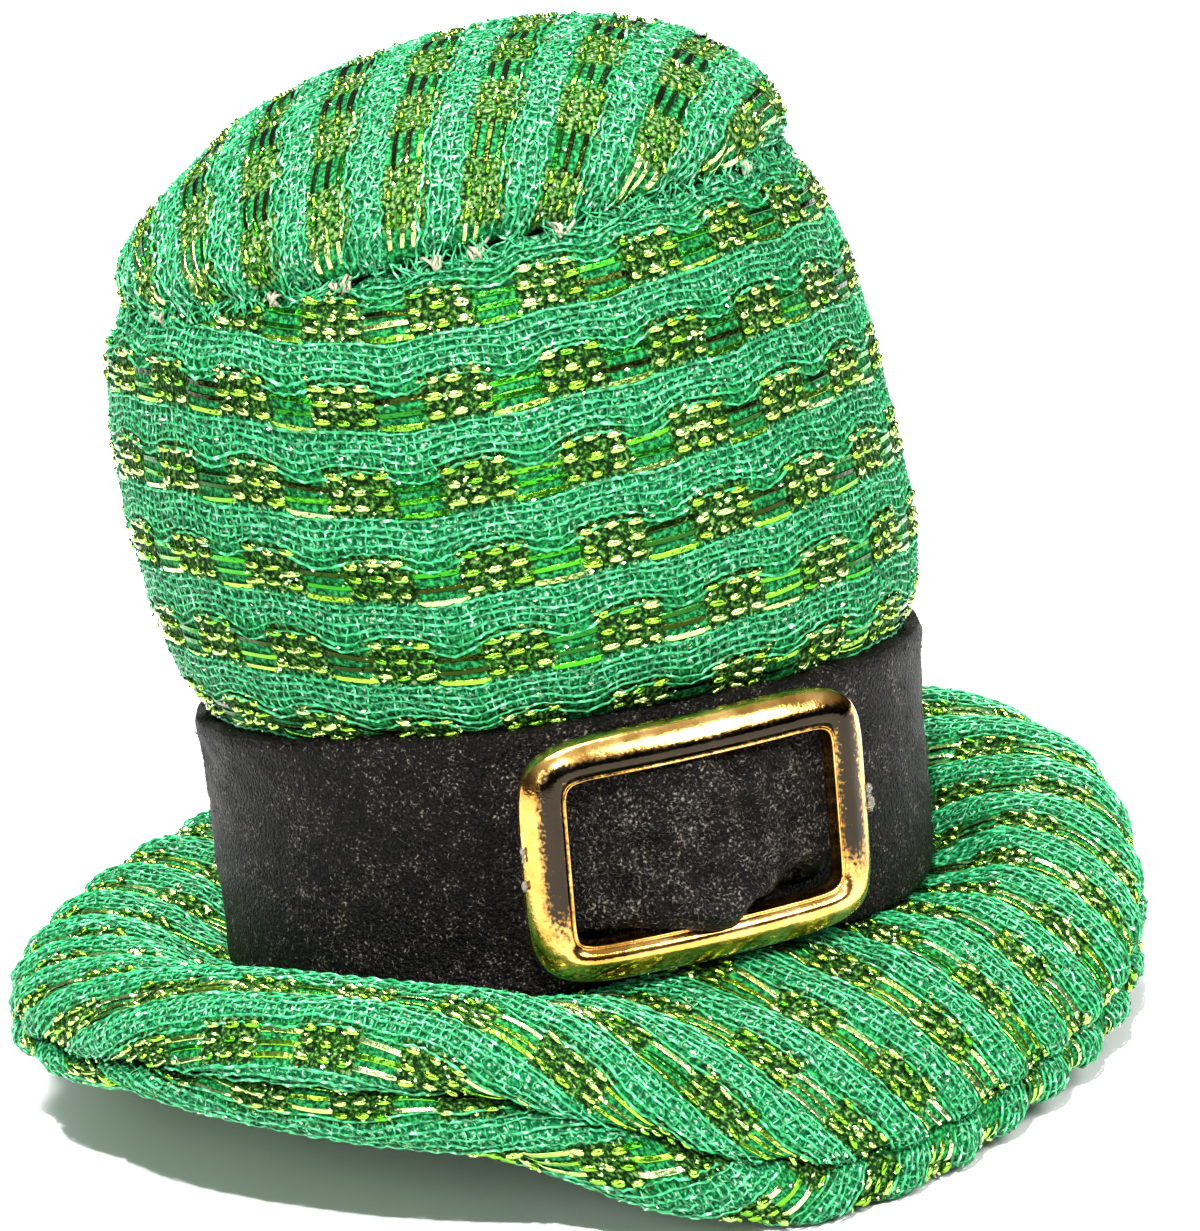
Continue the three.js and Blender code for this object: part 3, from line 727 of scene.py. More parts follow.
def gauze_piece(name, cloth, place, weave, thread):
    """Weft and warp threads of the gauze between the stripes, as one mesh."""
    chance = np.random.default_rng(weave.seeds[1])
    along = np.arange(*weave.span, WARP_APART / 2)
    wefts = []
    for stripe in weave.stripes:
        for number in range(WEFTS):
            level = (number - WEFTS / 2) * WEFT_APART
            across = stripe + STRIPE / 2 + level
            wave = 0.045 * np.sin(FULL_TURN * along / WARP_APART + chance.uniform(*ANY_PHASE))
            drift = 0.07 * np.sin(along / chance.uniform(0.7, 3.0) + chance.uniform(*ANY_PHASE))
            drift += weave.frizz * softened(chance.normal(0, 1, len(along)), 1, 0, False)
            lift = 0.1 + 0.05 * np.cos(math.pi * along / WARP_APART + math.pi * number)
            sunk = weave.hang(along, hang_share(level))
            wefts.append(np.stack([along, across + wave + drift - sunk, lift]))
    wefts = np.array(wefts)
    turn, run, keep = place(wefts[:, 0], wefts[:, 1], 0.0)
    thick = WEFT_RADIUS * softened(chance.uniform(0.3, 1.8, turn.shape), 1, 1, False)
    weft = strands(cloth.at(turn, run, wefts[:, 2]), cloth.normal_at(turn, run), keep, thick, 4)

    step = np.linspace(-WARP_REACH, WARP_REACH, len(WARP_LIFTS))
    columns = np.arange(*weave.span, WARP_APART)
    middles = np.array([(x, stripe + STRIPE / 2) for stripe in weave.stripes for x in columns])
    middles[:, 0] += chance.normal(0, 0.05, len(middles))
    warp_along = middles[:, :1] + chance.normal(0, 0.08 + weave.frizz, (len(middles), len(step)))
    warp_across = middles[:, 1:] + step - weave.hang(warp_along, hang_share(step))
    turn, run, keep = place(warp_along, warp_across, 0.0)
    keep &= keep.all(axis=1, keepdims=True)
    lift = np.broadcast_to(WARP_LIFTS, turn.shape)
    warp = strands(cloth.at(turn, run, lift), cloth.normal_at(turn, run), keep, WARP_RADIUS, 3)

    points = np.concatenate([weft[0], warp[0]])
    faces = [weft[1], weft[2], warp[1] + len(weft[0]), warp[2] + len(weft[0])]
    on_hat(new_mesh(name, points, faces, thread))


WALL_HIDDEN = 14.2  # run of the wall that the band covers


def wall_place(along, across, margin):
    """Turn and run of places on the flat cloth, and which of them lie on the open part of the wall."""
    turn = along / (WALL_BLOCKS * BLOCK)
    run = across - droop(turn)
    inside = (run > WALL_HIDDEN) & (run < wall.length_at(turn) - margin + 0.25)
    return turn, run, inside


wall_weave = Weave(
    stripes=WALL_STRIPE_START + STRIPE * np.arange(-1, 7),
    block_start=WALL_BLOCK_START,
    block_numbers=range(WALL_BLOCKS),
    span=(0.0, WALL_BLOCKS * BLOCK + 0.2),
    sag=0.6,
    # painted light: the lowest floats on the wall are bright, the upper ones dark as if mirroring dark
    # surroundings
    float_light_tones=(0.58, 0.16, 0.1),
    loop_part=1.0,
    frizz=0.04,
    seeds=(23, 29),
)
tape_piece("crown_side_tape", wall, wall_place, wall_weave)
gauze_piece("crown_side_gauze", wall, wall_place, wall_weave, yarn)


# Crown tip
# A round of the same cloth, gathered and sewn to the top of the wall. The foam and a little stuffing make
# it domed, and the seam draws it in. Its stripes run from the front left to the back right.

TIP_MIDDLE = Vector((AXIS_RIGHT[-1], AXIS_BACK[-1], AXIS_HEIGHT[-1]))
TIP_AXIS = Vector((0.05, 0.12, 1.0))
TIP_ANGLES = np.radians(90 - 88.6 * np.linspace(0, 1, 110))  # from the top down to the seam
TIP_SHARES = np.concatenate([[0.02], np.linspace(0.05, 1.0, 40)])  # rows of the body, as shares of its run
TIP_OVERLAP = 0.35  # the tip runs on into the groove of the seam
TIP_STRIPE_START = 1.05
TIP_BLOCK_START = 0.0


def tip_column(turn):
    """Points of the tip's face from the top to the seam at a turn."""
    right, back = way_out(turn)
    level = Vector((right, back, -RING_FALL_RIGHT[-1] * right - RING_FALL_BACK[-1] * back))
    ways = [(math.cos(angle) * level + math.sin(angle) * TIP_AXIS).normalized() for angle in TIP_ANGLES]
    return [struck(tip_skin, TIP_MIDDLE, outward) for outward in ways]


tip_skin = skin_of("crown_tip")
tip_columns = smooth_columns(np.array([tip_column(turn) for turn in turns]), 24, 14)
tip_columns[:, 0] = tip_columns[:, 0].mean(axis=0)
tip = Cloth(tip_columns, -1.0)

tip_turn, tip_run = tip.grid()
to_seam = np.maximum(tip.length[:, None] - tip_run, 0)
seam_gathers = gathers(tip_turn, tip_run, SEAM_FOLDS, 2.0, 9.0, chance) * np.exp(-to_seam / 2.2)
tip_waves = uneven(tip_turn, tip_run, 15.0, chance) * np.minimum(tip_run / 6, 1)
tip.relieve(0.22 * tip_waves + 0.26 * seam_gathers)


def heading(degrees):
    """Level direction, from the right towards the back."""
    return np.array([math.cos(math.radians(degrees)), math.sin(math.radians(degrees))])


def flat_place(cloth, first_run, ways, hidden, lengths):
    """Lays the flat cloth on a round piece: straight out from its middle, as far as on the flat cloth.

    The ways are those along and across the stripes. Nothing lies on the hidden run or past the lengths.
    """
    along_way, across_way = ways

    def place(along, across, margin):
        right = along * along_way[0] + across * across_way[0]
        back = along * along_way[1] + across * across_way[1]
        turn = np.arctan2(back, right) / FULL_TURN
        run = np.hypot(right, back) - first_run
        clear = cloth.at(turn, run)[..., 2] > 0.5  # nothing is laid where the cloth rests on the table
        return turn, run, clear & (run > hidden) & (run < round_the_hat(lengths, turn) - margin - 0.1)

    return place


def flat_plan(first_run, ways):
    """The way back: from a turn and a run to the place on the flat cloth."""

    def plan(turn, run):
        reach = run + first_run
        right, back = reach * np.cos(FULL_TURN * turn), reach * np.sin(FULL_TURN * turn)
        return np.stack([right * way[0] + back * way[1] for way in ways], axis=-1)

    return plan


TIP_WAYS = (heading(59), heading(-31))
# painted light: the tip's olive is made paler, as it is lit from above
tip_ground = ground_finish("tip_ground", TIP_STRIPE_START, TIP_BLOCK_START, 0.07)
tip_plan = flat_plan(0.0, TIP_WAYS)
tip_body = cloth_body("crown_tip_cloth", tip, TIP_SHARES, TIP_OVERLAP, tip_plan, tip_ground, True)
on_hat(tip_body)
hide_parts("crown_tip")

tip_place = flat_place(tip, 0.0, TIP_WAYS, 0.3, tip.length + 0.3)
tip_weave = Weave(
    stripes=TIP_STRIPE_START + STRIPE * np.arange(-6, 7),
    block_start=TIP_BLOCK_START,
    block_numbers=range(-5, 6),
    span=(-28.0, 28.0),
    sag=0.15,
    # painted shade: the tip's floats are dark, as if mirroring dark surroundings; those near the seam get
    # a painted highlight
    float_light_tones=(0.0, -0.1, 0.0),
    loop_part=0.8,
    frizz=0.17,
    seeds=(31, 37),
    painted_lit_rim=3.2,
)
tape_piece("crown_tip_tape", tip, tip_place, tip_weave)
gauze_piece("crown_tip_gauze", tip, tip_place, tip_weave, thread_finish("tip_yarn", 0.09))


# Seam under the tip
# Sewing thread draws the tip and the wall together. The cut edges of both cloths are frayed, so that loose
# green yarn fills the groove and hides the stitches, and a few tufts of pale sewing thread stand out.

FRAYED_ENDS = 520
FRAYED_RADIUS = 0.065
TUFT_TURNS = (0.527, 0.606, 0.64, 0.684, 0.703, 0.742, 0.86, 0.12, 0.35)
TUFT_THREADS = 6
TUFT_RADIUS = 0.1


def seam_threads(name, turn, slant, depth, bulge, radius, material):
    """Threads from the wall over the seam to the tip: how deep they start, and how far they stand out."""
    low = wall.at(turn, wall.length_at(turn) - depth, 0.08)
    high = tip.at(turn + slant, tip.length_at(turn + slant) - depth, 0.08)
    out = wall.normal_at(turn, wall.length_at(turn) - 1.5)
    share = np.linspace(0, 1, 5)[None, :, None]
    arc = np.sin(math.pi * share) * bulge[:, None, None]
    rows = low[:, None] * (1 - share) + high[:, None] * share + arc * out[:, None]
    normals = np.broadcast_to(out[:, None], rows.shape)
    rows = rows + chance.normal(0, 0.07, rows.shape)
    points, quads, caps = strands(rows, normals, np.ones(rows.shape[:2], bool), radius, 4)
    on_hat(new_mesh(name, points, [quads, caps], material))


frayed_turn = chance.uniform(0, 1, FRAYED_ENDS)
frayed_slant = chance.normal(0, 0.008, FRAYED_ENDS)
frayed_depth = chance.uniform(0.0, 0.45, FRAYED_ENDS)
frayed_bulge = chance.uniform(-0.1, 0.15, FRAYED_ENDS)
frayed = (frayed_turn, frayed_slant, frayed_depth, frayed_bulge)
seam_threads("crown_seam_frayed_yarn", *frayed, FRAYED_RADIUS, yarn)

pale_thread, _, _ = finish("pale_thread", Base_Color=(0.3, 0.3, 0.2, 1.0), Roughness=0.8)
tuft_turn = np.repeat(TUFT_TURNS, TUFT_THREADS)
tuft_turn = tuft_turn + chance.normal(0, 0.0012, len(tuft_turn))
tuft_slant = chance.normal(0, 0.003, len(tuft_turn))
tuft_bulge = chance.uniform(0.1, 0.5, len(tuft_turn))
tufts = (tuft_turn, tuft_slant, 0.1, tuft_bulge)
seam_threads("crown_seam_thread_tufts", *tufts, TUFT_RADIUS, pale_thread)


# Brim
# Two rings of the same cloth, each with soft padding, sewn to each other round the edge so that the seam
# lies in a groove. The brim is turned up at the front left and hangs down at the front, where it rests.

HOLE_RADIUS = 16.8
EDGE_CLEAR = 0.08  # the rays keep off the edge of the hole
BRIM_REACH = (24.0, 36.0)  # the widest line lies between these radii
BRIM_OVER, BRIM_UNDER = 60.0, -20.0  # heights from which the layers are measured
BRIM_STEPS = 64
BRIM_ROWS = 84
SEAM_DRAWN_IN = 1.5  # the seam lies this far along the cloth from the widest line
BRIM_FOLDS = 58  # gathers round the edge seam
BRIM_WAYS = (heading(-51), heading(39))  # the stripes come forward on the right
BRIM_STRIPE_START = 0.86
BRIM_BLOCK_START = 1.5
BUCKLE_SWELL = 1.25  # the padding is pushed up against the band under the buckle
SWELL_TURN, SWELL_HALF = 0.745, 0.085
SWELL_RUN = 2.6

DOWN, UP = Vector((0, 0, -1)), Vector((0, 0, 1))


def brim_faces(node_name):
    """Top and bottom points of a brim layer from the hole to its widest line, a column for each turn."""
    skin = skin_of(node_name)
    top = np.empty((AROUND, BRIM_STEPS, 3))
    bottom = np.empty_like(top)
    for i, turn in enumerate(turns):
        way = Vector((*way_out(turn), 0))
        near, far = BRIM_REACH
        for _ in range(16):
            half = (near + far) / 2
            if skin.ray_cast(way * half + BRIM_OVER * UP, DOWN)[0] is None:
                far = half
            else:
                near = half
        share = 1 - (1 - np.linspace(0, 1, BRIM_STEPS)) ** 1.8
        first = HOLE_RADIUS + EDGE_CLEAR
        for k, radius in enumerate(first + (near - 0.02 - first) * share):
            top[i, k] = skin.ray_cast(way * radius + BRIM_OVER * UP, DOWN)[0]
            bottom[i, k] = skin.ray_cast(way * radius + BRIM_UNDER * UP, UP)[0]
    return softened(top, 12, 0, True), softened(bottom, 12, 0, True)


def brim_cloth(seen, hidden, facing):
    """Cloth of a layer, from the hole over the seen side to the widest line and all the way back.

    With it comes the run at which the edge seam lies, for each column.
    """
    cloth = Cloth(np.concatenate([seen, hidden[:, ::-1]], axis=1), facing)
    widest = np.linalg.norm(np.diff(seen, axis=1), axis=2).sum(axis=1)
    cloth.points = softened(cloth.points, 10, 1, False)
    cloth.find_normals()
    return cloth, widest + SEAM_DRAWN_IN


def brim_layer(name, cloth, seam_run, stripe_start, block_start, swell, seed):
    """Cloth body, tapes and gauze of one layer."""
    chance = np.random.default_rng(seed)
    plan_of = flat_plan(HOLE_RADIUS, BRIM_WAYS)
    turn, run = cloth.grid()
    across = plan_of(turn, run)[..., 1]
    to_seam = seam_run[:, None] - run
    open_part = np.clip((run - 3.5) / 3, 0, 1) * np.clip(to_seam / 2, 0, 1)
    seam_gathers = 0.12 + 0.16 * gathers(turn, run, BRIM_FOLDS, 2, 8.0, chance)
    drawn_in = 0.26 * np.cos(FULL_TURN * (across - stripe_start) / STRIPE)  # by the tapes of each stripe
    cloth.relieve(
        (0.2 * uneven(turn, run, 12.0, chance) - drawn_in) * open_part
        + seam_gathers * np.exp(-np.abs(to_seam) / 1.2)
        + swell * ridge(turn - SWELL_TURN, SWELL_HALF) * ridge(run - SWELL_RUN, SWELL_RUN)
    )

    shares = np.linspace(0, 1, BRIM_ROWS, endpoint=False)
    column, share = np.meshgrid(np.arange(BODY_COLUMNS) / BODY_COLUMNS, shares)
    run = share * cloth.length_at(column)
    points = cloth.at(column, run, UNDER_THREADS).reshape(-1, 3)
    points[:, 2] = np.maximum(points[:, 2], 0)  # pressed flat where it rests on the table
    faces = ring_faces(BODY_COLUMNS, BRIM_ROWS, True)
    if cloth.facing < 0:
        faces = faces[:, ::-1]
    ground = ground_finish(name + "_ground", stripe_start, block_start)
    body = new_mesh(name + "_cloth", points, [faces], ground)
    keep_plan(body, plan_of(column, run).reshape(-1, 2))
    on_hat(body)
    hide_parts(name)

    weave = Weave(
        stripes=stripe_start + STRIPE * np.arange(-8, 9),
        block_start=block_start,
        block_numbers=range(-6, 7),
        span=(-36.0, 36.0),
        sag=0.2,
        # painted light: the floats on the brim are bright, as if lit from above
        float_light_tones=(0.68, 0.58, 0.78),
        loop_part=0.95,
        frizz=0.06,
        seeds=(seed + 1, seed + 2),
    )
    place = flat_place(cloth, HOLE_RADIUS, BRIM_WAYS, 1.1, seam_run)
    tape_piece(name + "_tape", cloth, place, weave)
    gauze_piece(name + "_gauze", cloth, place, weave, yarn)


upper_top, upper_bottom = brim_faces("brim_upper")
upper, upper_seam = brim_cloth(upper_top, upper_bottom, -1.0)
brim_layer("brim_upper", upper, upper_seam, BRIM_STRIPE_START, BRIM_BLOCK_START, BUCKLE_SWELL, 41)
under_top, under_bottom = brim_faces("brim_under")
under, under_seam = brim_cloth(under_bottom, under_top, 1.0)
brim_layer("brim_under", under, under_seam, BRIM_STRIPE_START - 0.5, BRIM_BLOCK_START + 2.0, 0.0, 51)


# Felt band
# A strip of pressed black felt, 14 mm wide, is wound round the foot of the crown and glued. Its face is
# rubbed in patches and carries lint and painted glints as fine pale specks, and short fibres stand on it
# in clumps.

FELT_THICKNESS = 1.15
BAND_RINGS = np.linspace(8.25, 21.9, 60)  # heights at which the band is measured
BAND_ROWS = 32
BAND_WIDTH = 14.0
BAND_FIBRES, BAND_CLUMPS = 3200, 640
FIBRE_LENGTH = (0.12, 0.4)
FIBRE_RADIUS = 0.017
FIBRE_LIFTS = (-0.01, 0.05, 0.03)  # at its foot, its middle and its tip


def felt_finish(name, wear):
    """Black felt: matted fibres with fine pale specks of lint and painted glints, worn lighter and browner
    in patches.
    """
    material, tree, shader = finish(name, Roughness=0.55, Specular_IOR_Level=0.085)
    place = own_place(tree)
    worn = noise(tree, place, 600.0, 4.0, 0.7)
    # fine pale specks: lint, and painted highlights of glinting fibres
    lint_and_painted_glints = reckoned(tree, "SUBTRACT", noise(tree, place, 6400.0, 1.0), 0.12)
    both = reckoned(tree, "MULTIPLY_ADD", worn, 0.62, lint_and_painted_glints)
    black = [(0.62, (0.0009, 0.0007, 0.0006)), (0.8 - wear, (0.006, 0.0044, 0.0033))]
    grey = [(0.89 - wear, (0.034, 0.029, 0.024)), (0.99, (0.17, 0.15, 0.125))]
    coloured(tree, shader, colour_steps(tree, both, black + grey))
    bumped(tree, shader, noise(tree, place, 4200.0, 2.0, 0.6), 1.0, 0.00035)
    return material


def fibre_finish():
    """Fibres of the felt's nap: black, grey and a few pale ones, with a slight gloss."""
    material, tree, shader = finish("felt_fibres", Roughness=0.42, Specular_IOR_Level=0.6)
    greys = [(0.45, (0.003, 0.003, 0.003)), (0.8, (0.015, 0.014, 0.012)), (1.0, (0.115, 0.1, 0.082))]
    coloured(tree, shader, colour_steps(tree, kept_amount(tree, "tone"), greys))
    return material


fibres = fibre_finish()


def clumped(count, clumps, spans, strays):
    """Places that stray from the middles of clumps, a row of numbers for each span."""
    clump = chance.integers(0, clumps, count)
    places = []
    for span, stray in zip(spans, strays):
        middles = chance.uniform(0, span, clumps)[clump]
        places.append(middles + chance.normal(0, stray, count))
    return places


def nap(name, feet, normals):
    """Short bent fibres on a felt face, one for each foot point, as one mesh."""
    count = len(feet)
    way = np.cross(normals, chance.normal(0, 1, (count, 3)))
    way /= np.linalg.norm(way, axis=1, keepdims=True)
    aside = np.cross(normals, way)
    length = chance.uniform(*FIBRE_LENGTH, (count, 1, 1))
    station = np.array([-0.5, 0.0, 0.5])[None, :, None]
    bow = chance.normal(0, 0.16, (count, 1, 1)) * (0.25 - station**2) * 4
    rise = chance.uniform(0, 0.1, (count, 1, 1)) * (station + 0.5)
    lift = np.array(FIBRE_LIFTS)[None, :, None] + rise
    curve = length * (station * way[:, None] + bow * aside[:, None])
    middle = feet[:, None] + curve + lift * normals[:, None]
    spin = FULL_TURN * np.arange(3) / 3
    ring = np.cos(spin)[:, None] * aside[:, None, None] + np.sin(spin)[:, None] * normals[:, None, None]
    points = (middle[:, :, None] + FIBRE_RADIUS * ring).reshape(-1, 3)
    fibre_faces = [ring_faces(3, 3, False)[:, ::-1], np.array([[0, 1, 2], [8, 7, 6]])]
    obj = new_mesh(name, points, copies(fibre_faces, 9, count), fibres)
    keep_amount(obj, "tone", np.repeat(chance.uniform(0, 1, count), 9))
    on_hat(obj)


band = Cloth(smooth_columns(ring_columns("hat_band", BAND_RINGS, 17.0), 10, 12), 1.0)
band_turn, band_run = band.grid()
band_waves = 0.1 * uneven(band_turn, band_run, 7.0, chance)
band_ripples = 0.05 * uneven(band_turn * 3, band_run, 2.5, chance)
band.relieve(band_waves + band_ripples)
column, share = np.meshgrid(turns, np.linspace(0, 1, BAND_ROWS))
run = share * band.length_at(column)
from_edge = np.minimum(share, 1 - share) * BAND_WIDTH
outer = band.at(column, run, -0.3 * np.exp(-from_edge / 0.25))  # the cut edges are rounded
inner = band.at(column, run, -FELT_THICKNESS)[::-1]
band_points = np.concatenate([outer, inner]).reshape(-1, 3)
band_faces = ring_faces(AROUND, 2 * BAND_ROWS, True)
band_body = new_mesh("hat_band_felt", band_points, [band_faces], felt_finish("band_felt", 0.0))
on_hat(band_body)
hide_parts("hat_band")

fibre_turn, fibre_share = clumped(BAND_FIBRES, BAND_CLUMPS, (1, 1), (0.0036, 0.032))
fibre_turn = np.mod(fibre_turn, 1.0)
fibre_run = np.clip(fibre_share, 0.01, 0.99) * band.length_at(fibre_turn)
nap("hat_band_nap", band.at(fibre_turn, fibre_run), band.normal_at(fibre_turn, fibre_run))


# Buckle strap
# A short strap of the same felt goes under the buckle's side bars and arches over its middle bar, so that
# it bulges inside the frame. It is crumpled from being pushed through.

BUCKLE_MIDDLE = Vector((0.35, -17.7, 17.957))  # on the band's face, behind the buckle
BUCKLE_RIGHT = Vector((1.0, 0.0, 0.0))
BUCKLE_UP = Vector((0.0452, 0.0853, 0.9953)).normalized()
BUCKLE_OUT = BUCKLE_RIGHT.cross(BUCKLE_UP).normalized()
BUCKLE_RAISE = 0.4
BUCKLE_ASIDE = -0.65
STRAP_HALF = (8.5, 4.3)  # half its length and half its width
STRAP_SEEN = 7.2  # half the length that shows inside the frame
STRAP_POINTS = (120, 56)
STRAP_THICKNESS = 1.1
STRAP_CREASES = 9
STRAP_FIBRES, STRAP_CLUMPS = 1300, 190


def buckle_place(across, up, out):
    """Point on the buckle: right and up in its face, and out from the band."""
    aside = np.asarray(across) + BUCKLE_ASIDE
    rise = np.asarray(up) + BUCKLE_RAISE
    return (
        np.array(BUCKLE_MIDDLE)
        + aside[..., None] * np.array(BUCKLE_RIGHT)
        + rise[..., None] * np.array(BUCKLE_UP)
        + np.asarray(out)[..., None] * np.array(BUCKLE_OUT)
    )


def sheet_faces(index):
    """Four-cornered faces of an open grid of point numbers."""
    corners = [index[:-1, :-1], index[1:, :-1], index[1:, 1:], index[:-1, 1:]]
    return np.stack(corners, axis=-1).reshape(-1, 4)


strap_skin = skin_of("buckle_strap")
strap_lines = [np.linspace(-half, half, count) for half, count in zip(STRAP_HALF, STRAP_POINTS)]
across_grid, up_grid = np.meshgrid(*strap_lines, indexing="ij")
strap_starts = buckle_place(across_grid, up_grid, np.full(STRAP_POINTS, 20.0))
strap_out = np.full(STRAP_POINTS, np.nan)
for spot in np.ndindex(STRAP_POINTS):
    hit = strap_skin.ray_cast(Vector(strap_starts[spot]), -BUCKLE_OUT)[0]
    if hit:
        strap_out[spot] = (hit - BUCKLE_MIDDLE).dot(BUCKLE_OUT)
for row in strap_out:
    known = np.flatnonzero(~np.isnan(row))
    row[:] = np.interp(np.arange(len(row)), known, row[known])
strap_out = softened(softened(strap_out, 8, 0, False), 3, 1, False)

crumple = 0.0
for _ in range(STRAP_CREASES):
    angle = chance.uniform(0, math.pi)
    wave = chance.uniform(1.6, 4.0)
    slanting = across_grid * math.cos(angle) + up_grid * math.sin(angle)
    crumple = crumple + np.sin(FULL_TURN * slanting / wave + chance.uniform(*ANY_PHASE))

# The lower edge bulges over the frame's lip, and the upper edge is folded out at the left
half_width = STRAP_HALF[1]
lower_edge = ridge(up_grid + half_width, 1.5)
lower_bulge = ridge(up_grid + 0.78 * half_width, 1.5) * ridge(across_grid, 4.4)
upper_fold = ridge(across_grid + 2.2, 2.6) * ridge(up_grid - half_width, 1.2)
inside_frame = np.clip((STRAP_SEEN - np.abs(across_grid)) / 1.5, 0, 1)
rounding = 0.8 * (np.sqrt(np.clip((half_width - np.abs(up_grid)) / 1.6, 0, 1)) - 1)
strap_face = strap_out + inside_frame * (0.12 * crumple * (1 - 0.85 * lower_edge) + rounding + 0.1)
strap_face += 0.9 * lower_bulge + 0.15 * upper_fold
rising = np.clip((across_grid - 0.5) / 5.0, 0, 1)
strap_rise = up_grid + lower_edge * (0.25 + 0.9 * rising - 0.75 * ridge(across_grid, 3.0))

front = buckle_place(across_grid, strap_rise, strap_face)
rear = buckle_place(across_grid, up_grid, strap_out - STRAP_THICKNESS)
index = np.arange(across_grid.size).reshape(STRAP_POINTS)
behind = across_grid.size  # number of the first point of the rear
rim = np.concatenate([index[:, 0], index[-1, 1:], index[-2::-1, -1], index[0, -2:0:-1]])
rim_after = np.roll(rim, -1)
rim_faces = np.stack([rim, rim + behind, rim_after + behind, rim_after], axis=-1)
strap_faces = [sheet_faces(index), sheet_faces(index)[:, ::-1] + behind, rim_faces]
strap_points = np.concatenate([front, rear]).reshape(-1, 3)
strap_body = new_mesh("buckle_strap_felt", strap_points, strap_faces, felt_finish("strap_felt", 0.05))
on_hat(strap_body)
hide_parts("buckle_strap")

strap_normals = np.cross(np.gradient(front, axis=0), np.gradient(front, axis=1))
strap_normals /= np.linalg.norm(strap_normals, axis=2, keepdims=True)
places = clumped(STRAP_FIBRES, STRAP_CLUMPS, STRAP_POINTS, (3.2, 3.2))
spots = tuple(np.clip(place, 0, count - 1).astype(int) for place, count in zip(places, STRAP_POINTS))
nap("buckle_strap_nap", front[spots], strap_normals[spots])


# Buckle
# One moulding of plastic with a bright gold coat: a rounded oblong frame, a little bent, with a hidden
# middle bar. The torn ends of the moulding gates stand out at both sides as rough pale crumbs.

BUCKLE_WIDTH = 19.6
BUCKLE_HEIGHT = 13.3
BUCKLE_BAR = 2.3
BUCKLE_SQUARENESS = (15.0, 5.5)  # of the opening and of the outer edge
BUCKLE_BEND = 45.0
BUCKLE_STAND_OFF = 1.75
# Outer side, crest, slope to a shallow groove, and lip at the opening: across the bar, and its rise
BUCKLE_SECTION = (
    (0.9, 0.0),
    (1.12, 0.25),
    (1.1, 0.62),
    (0.92, 0.98),
    (0.6, 1.27),
    (0.2, 1.5),
    (-0.2, 1.63),
    (-0.55, 1.6),
    (-0.8, 1.42),
    (-0.9, 1.3),
    (-1.0, 1.33),
    (-1.08, 1.18),
    (-1.08, 0.7),
    (-1.05, 0.0),
)
SECTION_STEPS = 4  # points from one corner of the section to the next
OUTLINE_STEPS = 200
FINE_STEPS = 8000  # of the outline before its points are evenly spaced
MIDDLE_BAR_RADIUS = 0.75
MIDDLE_BAR_OUT = 1.2
MIDDLE_BAR_SIDES, MIDDLE_BAR_ROWS = 16, 12
# Middle and half width of the painted dark reflection inside the crest, from the upper bar to the side
# bars
PAINTED_DARK_MIDDLE = (-0.42, -0.2)
PAINTED_DARK_HALF = (0.62, 0.85)


def closed_curve(corners, between):
    """Smooth closed line through points in a plane."""
    corners = np.array(corners)
    before, after, later = np.roll(corners, 1, 0), np.roll(corners, -1, 0), np.roll(corners, -2, 0)
    slope = after - before
    bend = 2 * before - 5 * corners + 4 * after - later
    twist = 3 * corners - before - 3 * after + later
    shares = np.linspace(0, 1, between, endpoint=False)
    made = [0.5 * (2 * corners + slope * t + bend * t * t + twist * t**3) for t in shares]
    return np.stack(made, axis=1).reshape(-1, corners.shape[1])


def gold_finish():
    """Bright gold coat with a fine moulding texture, duller in patches; the groove has a painted dark
    reflection.
    """
    material, tree, shader = finish("gold_coat", Metallic=1.0, Roughness=0.16)
    place = own_place(tree)
    patches = noise(tree, place, 420.0, 4.0, 0.6)
    bright = [(0.38, (0.46, 0.22, 0.04)), (0.52, (0.62, 0.34, 0.085)), (0.66, (0.8, 0.48, 0.15))]
    sparkle = noise(tree, place, 4600.0, 2.0)
    speckled = reckoned(tree, "MULTIPLY_ADD", sparkle, 1.3, kept_amount(tree, "painted_dark_reflection"))
    painted_dark = ranged(tree, speckled, 0.85, 1.35, 0.0, 0.98)
    gold = colour_steps(tree, patches, bright)
    # painted reflection: the coat is mixed towards near black in the groove, as if mirroring dark
    # surroundings
    coloured(tree, shader, mixed(tree, painted_dark, gold, (0.016, 0.015, 0.013)))
    tree.links.new(ranged(tree, patches, 0.35, 0.7, 0.08, 0.24), shader.inputs["Roughness"])
    bumped(tree, shader, noise(tree, place, 5200.0, 2.0), 0.18, 0.00006)
    return material


section = closed_curve(BUCKLE_SECTION, SECTION_STEPS)
half_right = (BUCKLE_WIDTH - BUCKLE_BAR) / 2
half_up = (BUCKLE_HEIGHT - BUCKLE_BAR) / 2


def oblong_line(outward):
    """Rounded oblong, evenly spaced points, at a distance outward from the middle line of the bar."""
    squareness = np.interp(outward, (-BUCKLE_BAR / 2, BUCKLE_BAR / 2), BUCKLE_SQUARENESS)
    angle = np.linspace(0, FULL_TURN, FINE_STEPS + 1)
    cosine, sine = np.cos(angle), np.sin(angle)
    right = (half_right + outward) * np.sign(cosine) * np.abs(cosine) ** (2 / squareness)
    up = (half_up + outward) * np.sign(sine) * np.abs(sine) ** (2 / squareness)
    run = np.concatenate([[0], np.hypot(np.diff(right), np.diff(up)).cumsum()])
    spaced = np.linspace(0, run[-1], OUTLINE_STEPS, endpoint=False)
    return np.stack([np.interp(spaced, run, right), np.interp(spaced, run, up)], axis=-1)


def bent(across, out):
    """Distance out from the band after the frame is bent round the crown."""
    return out - across * across / (2 * BUCKLE_BEND)


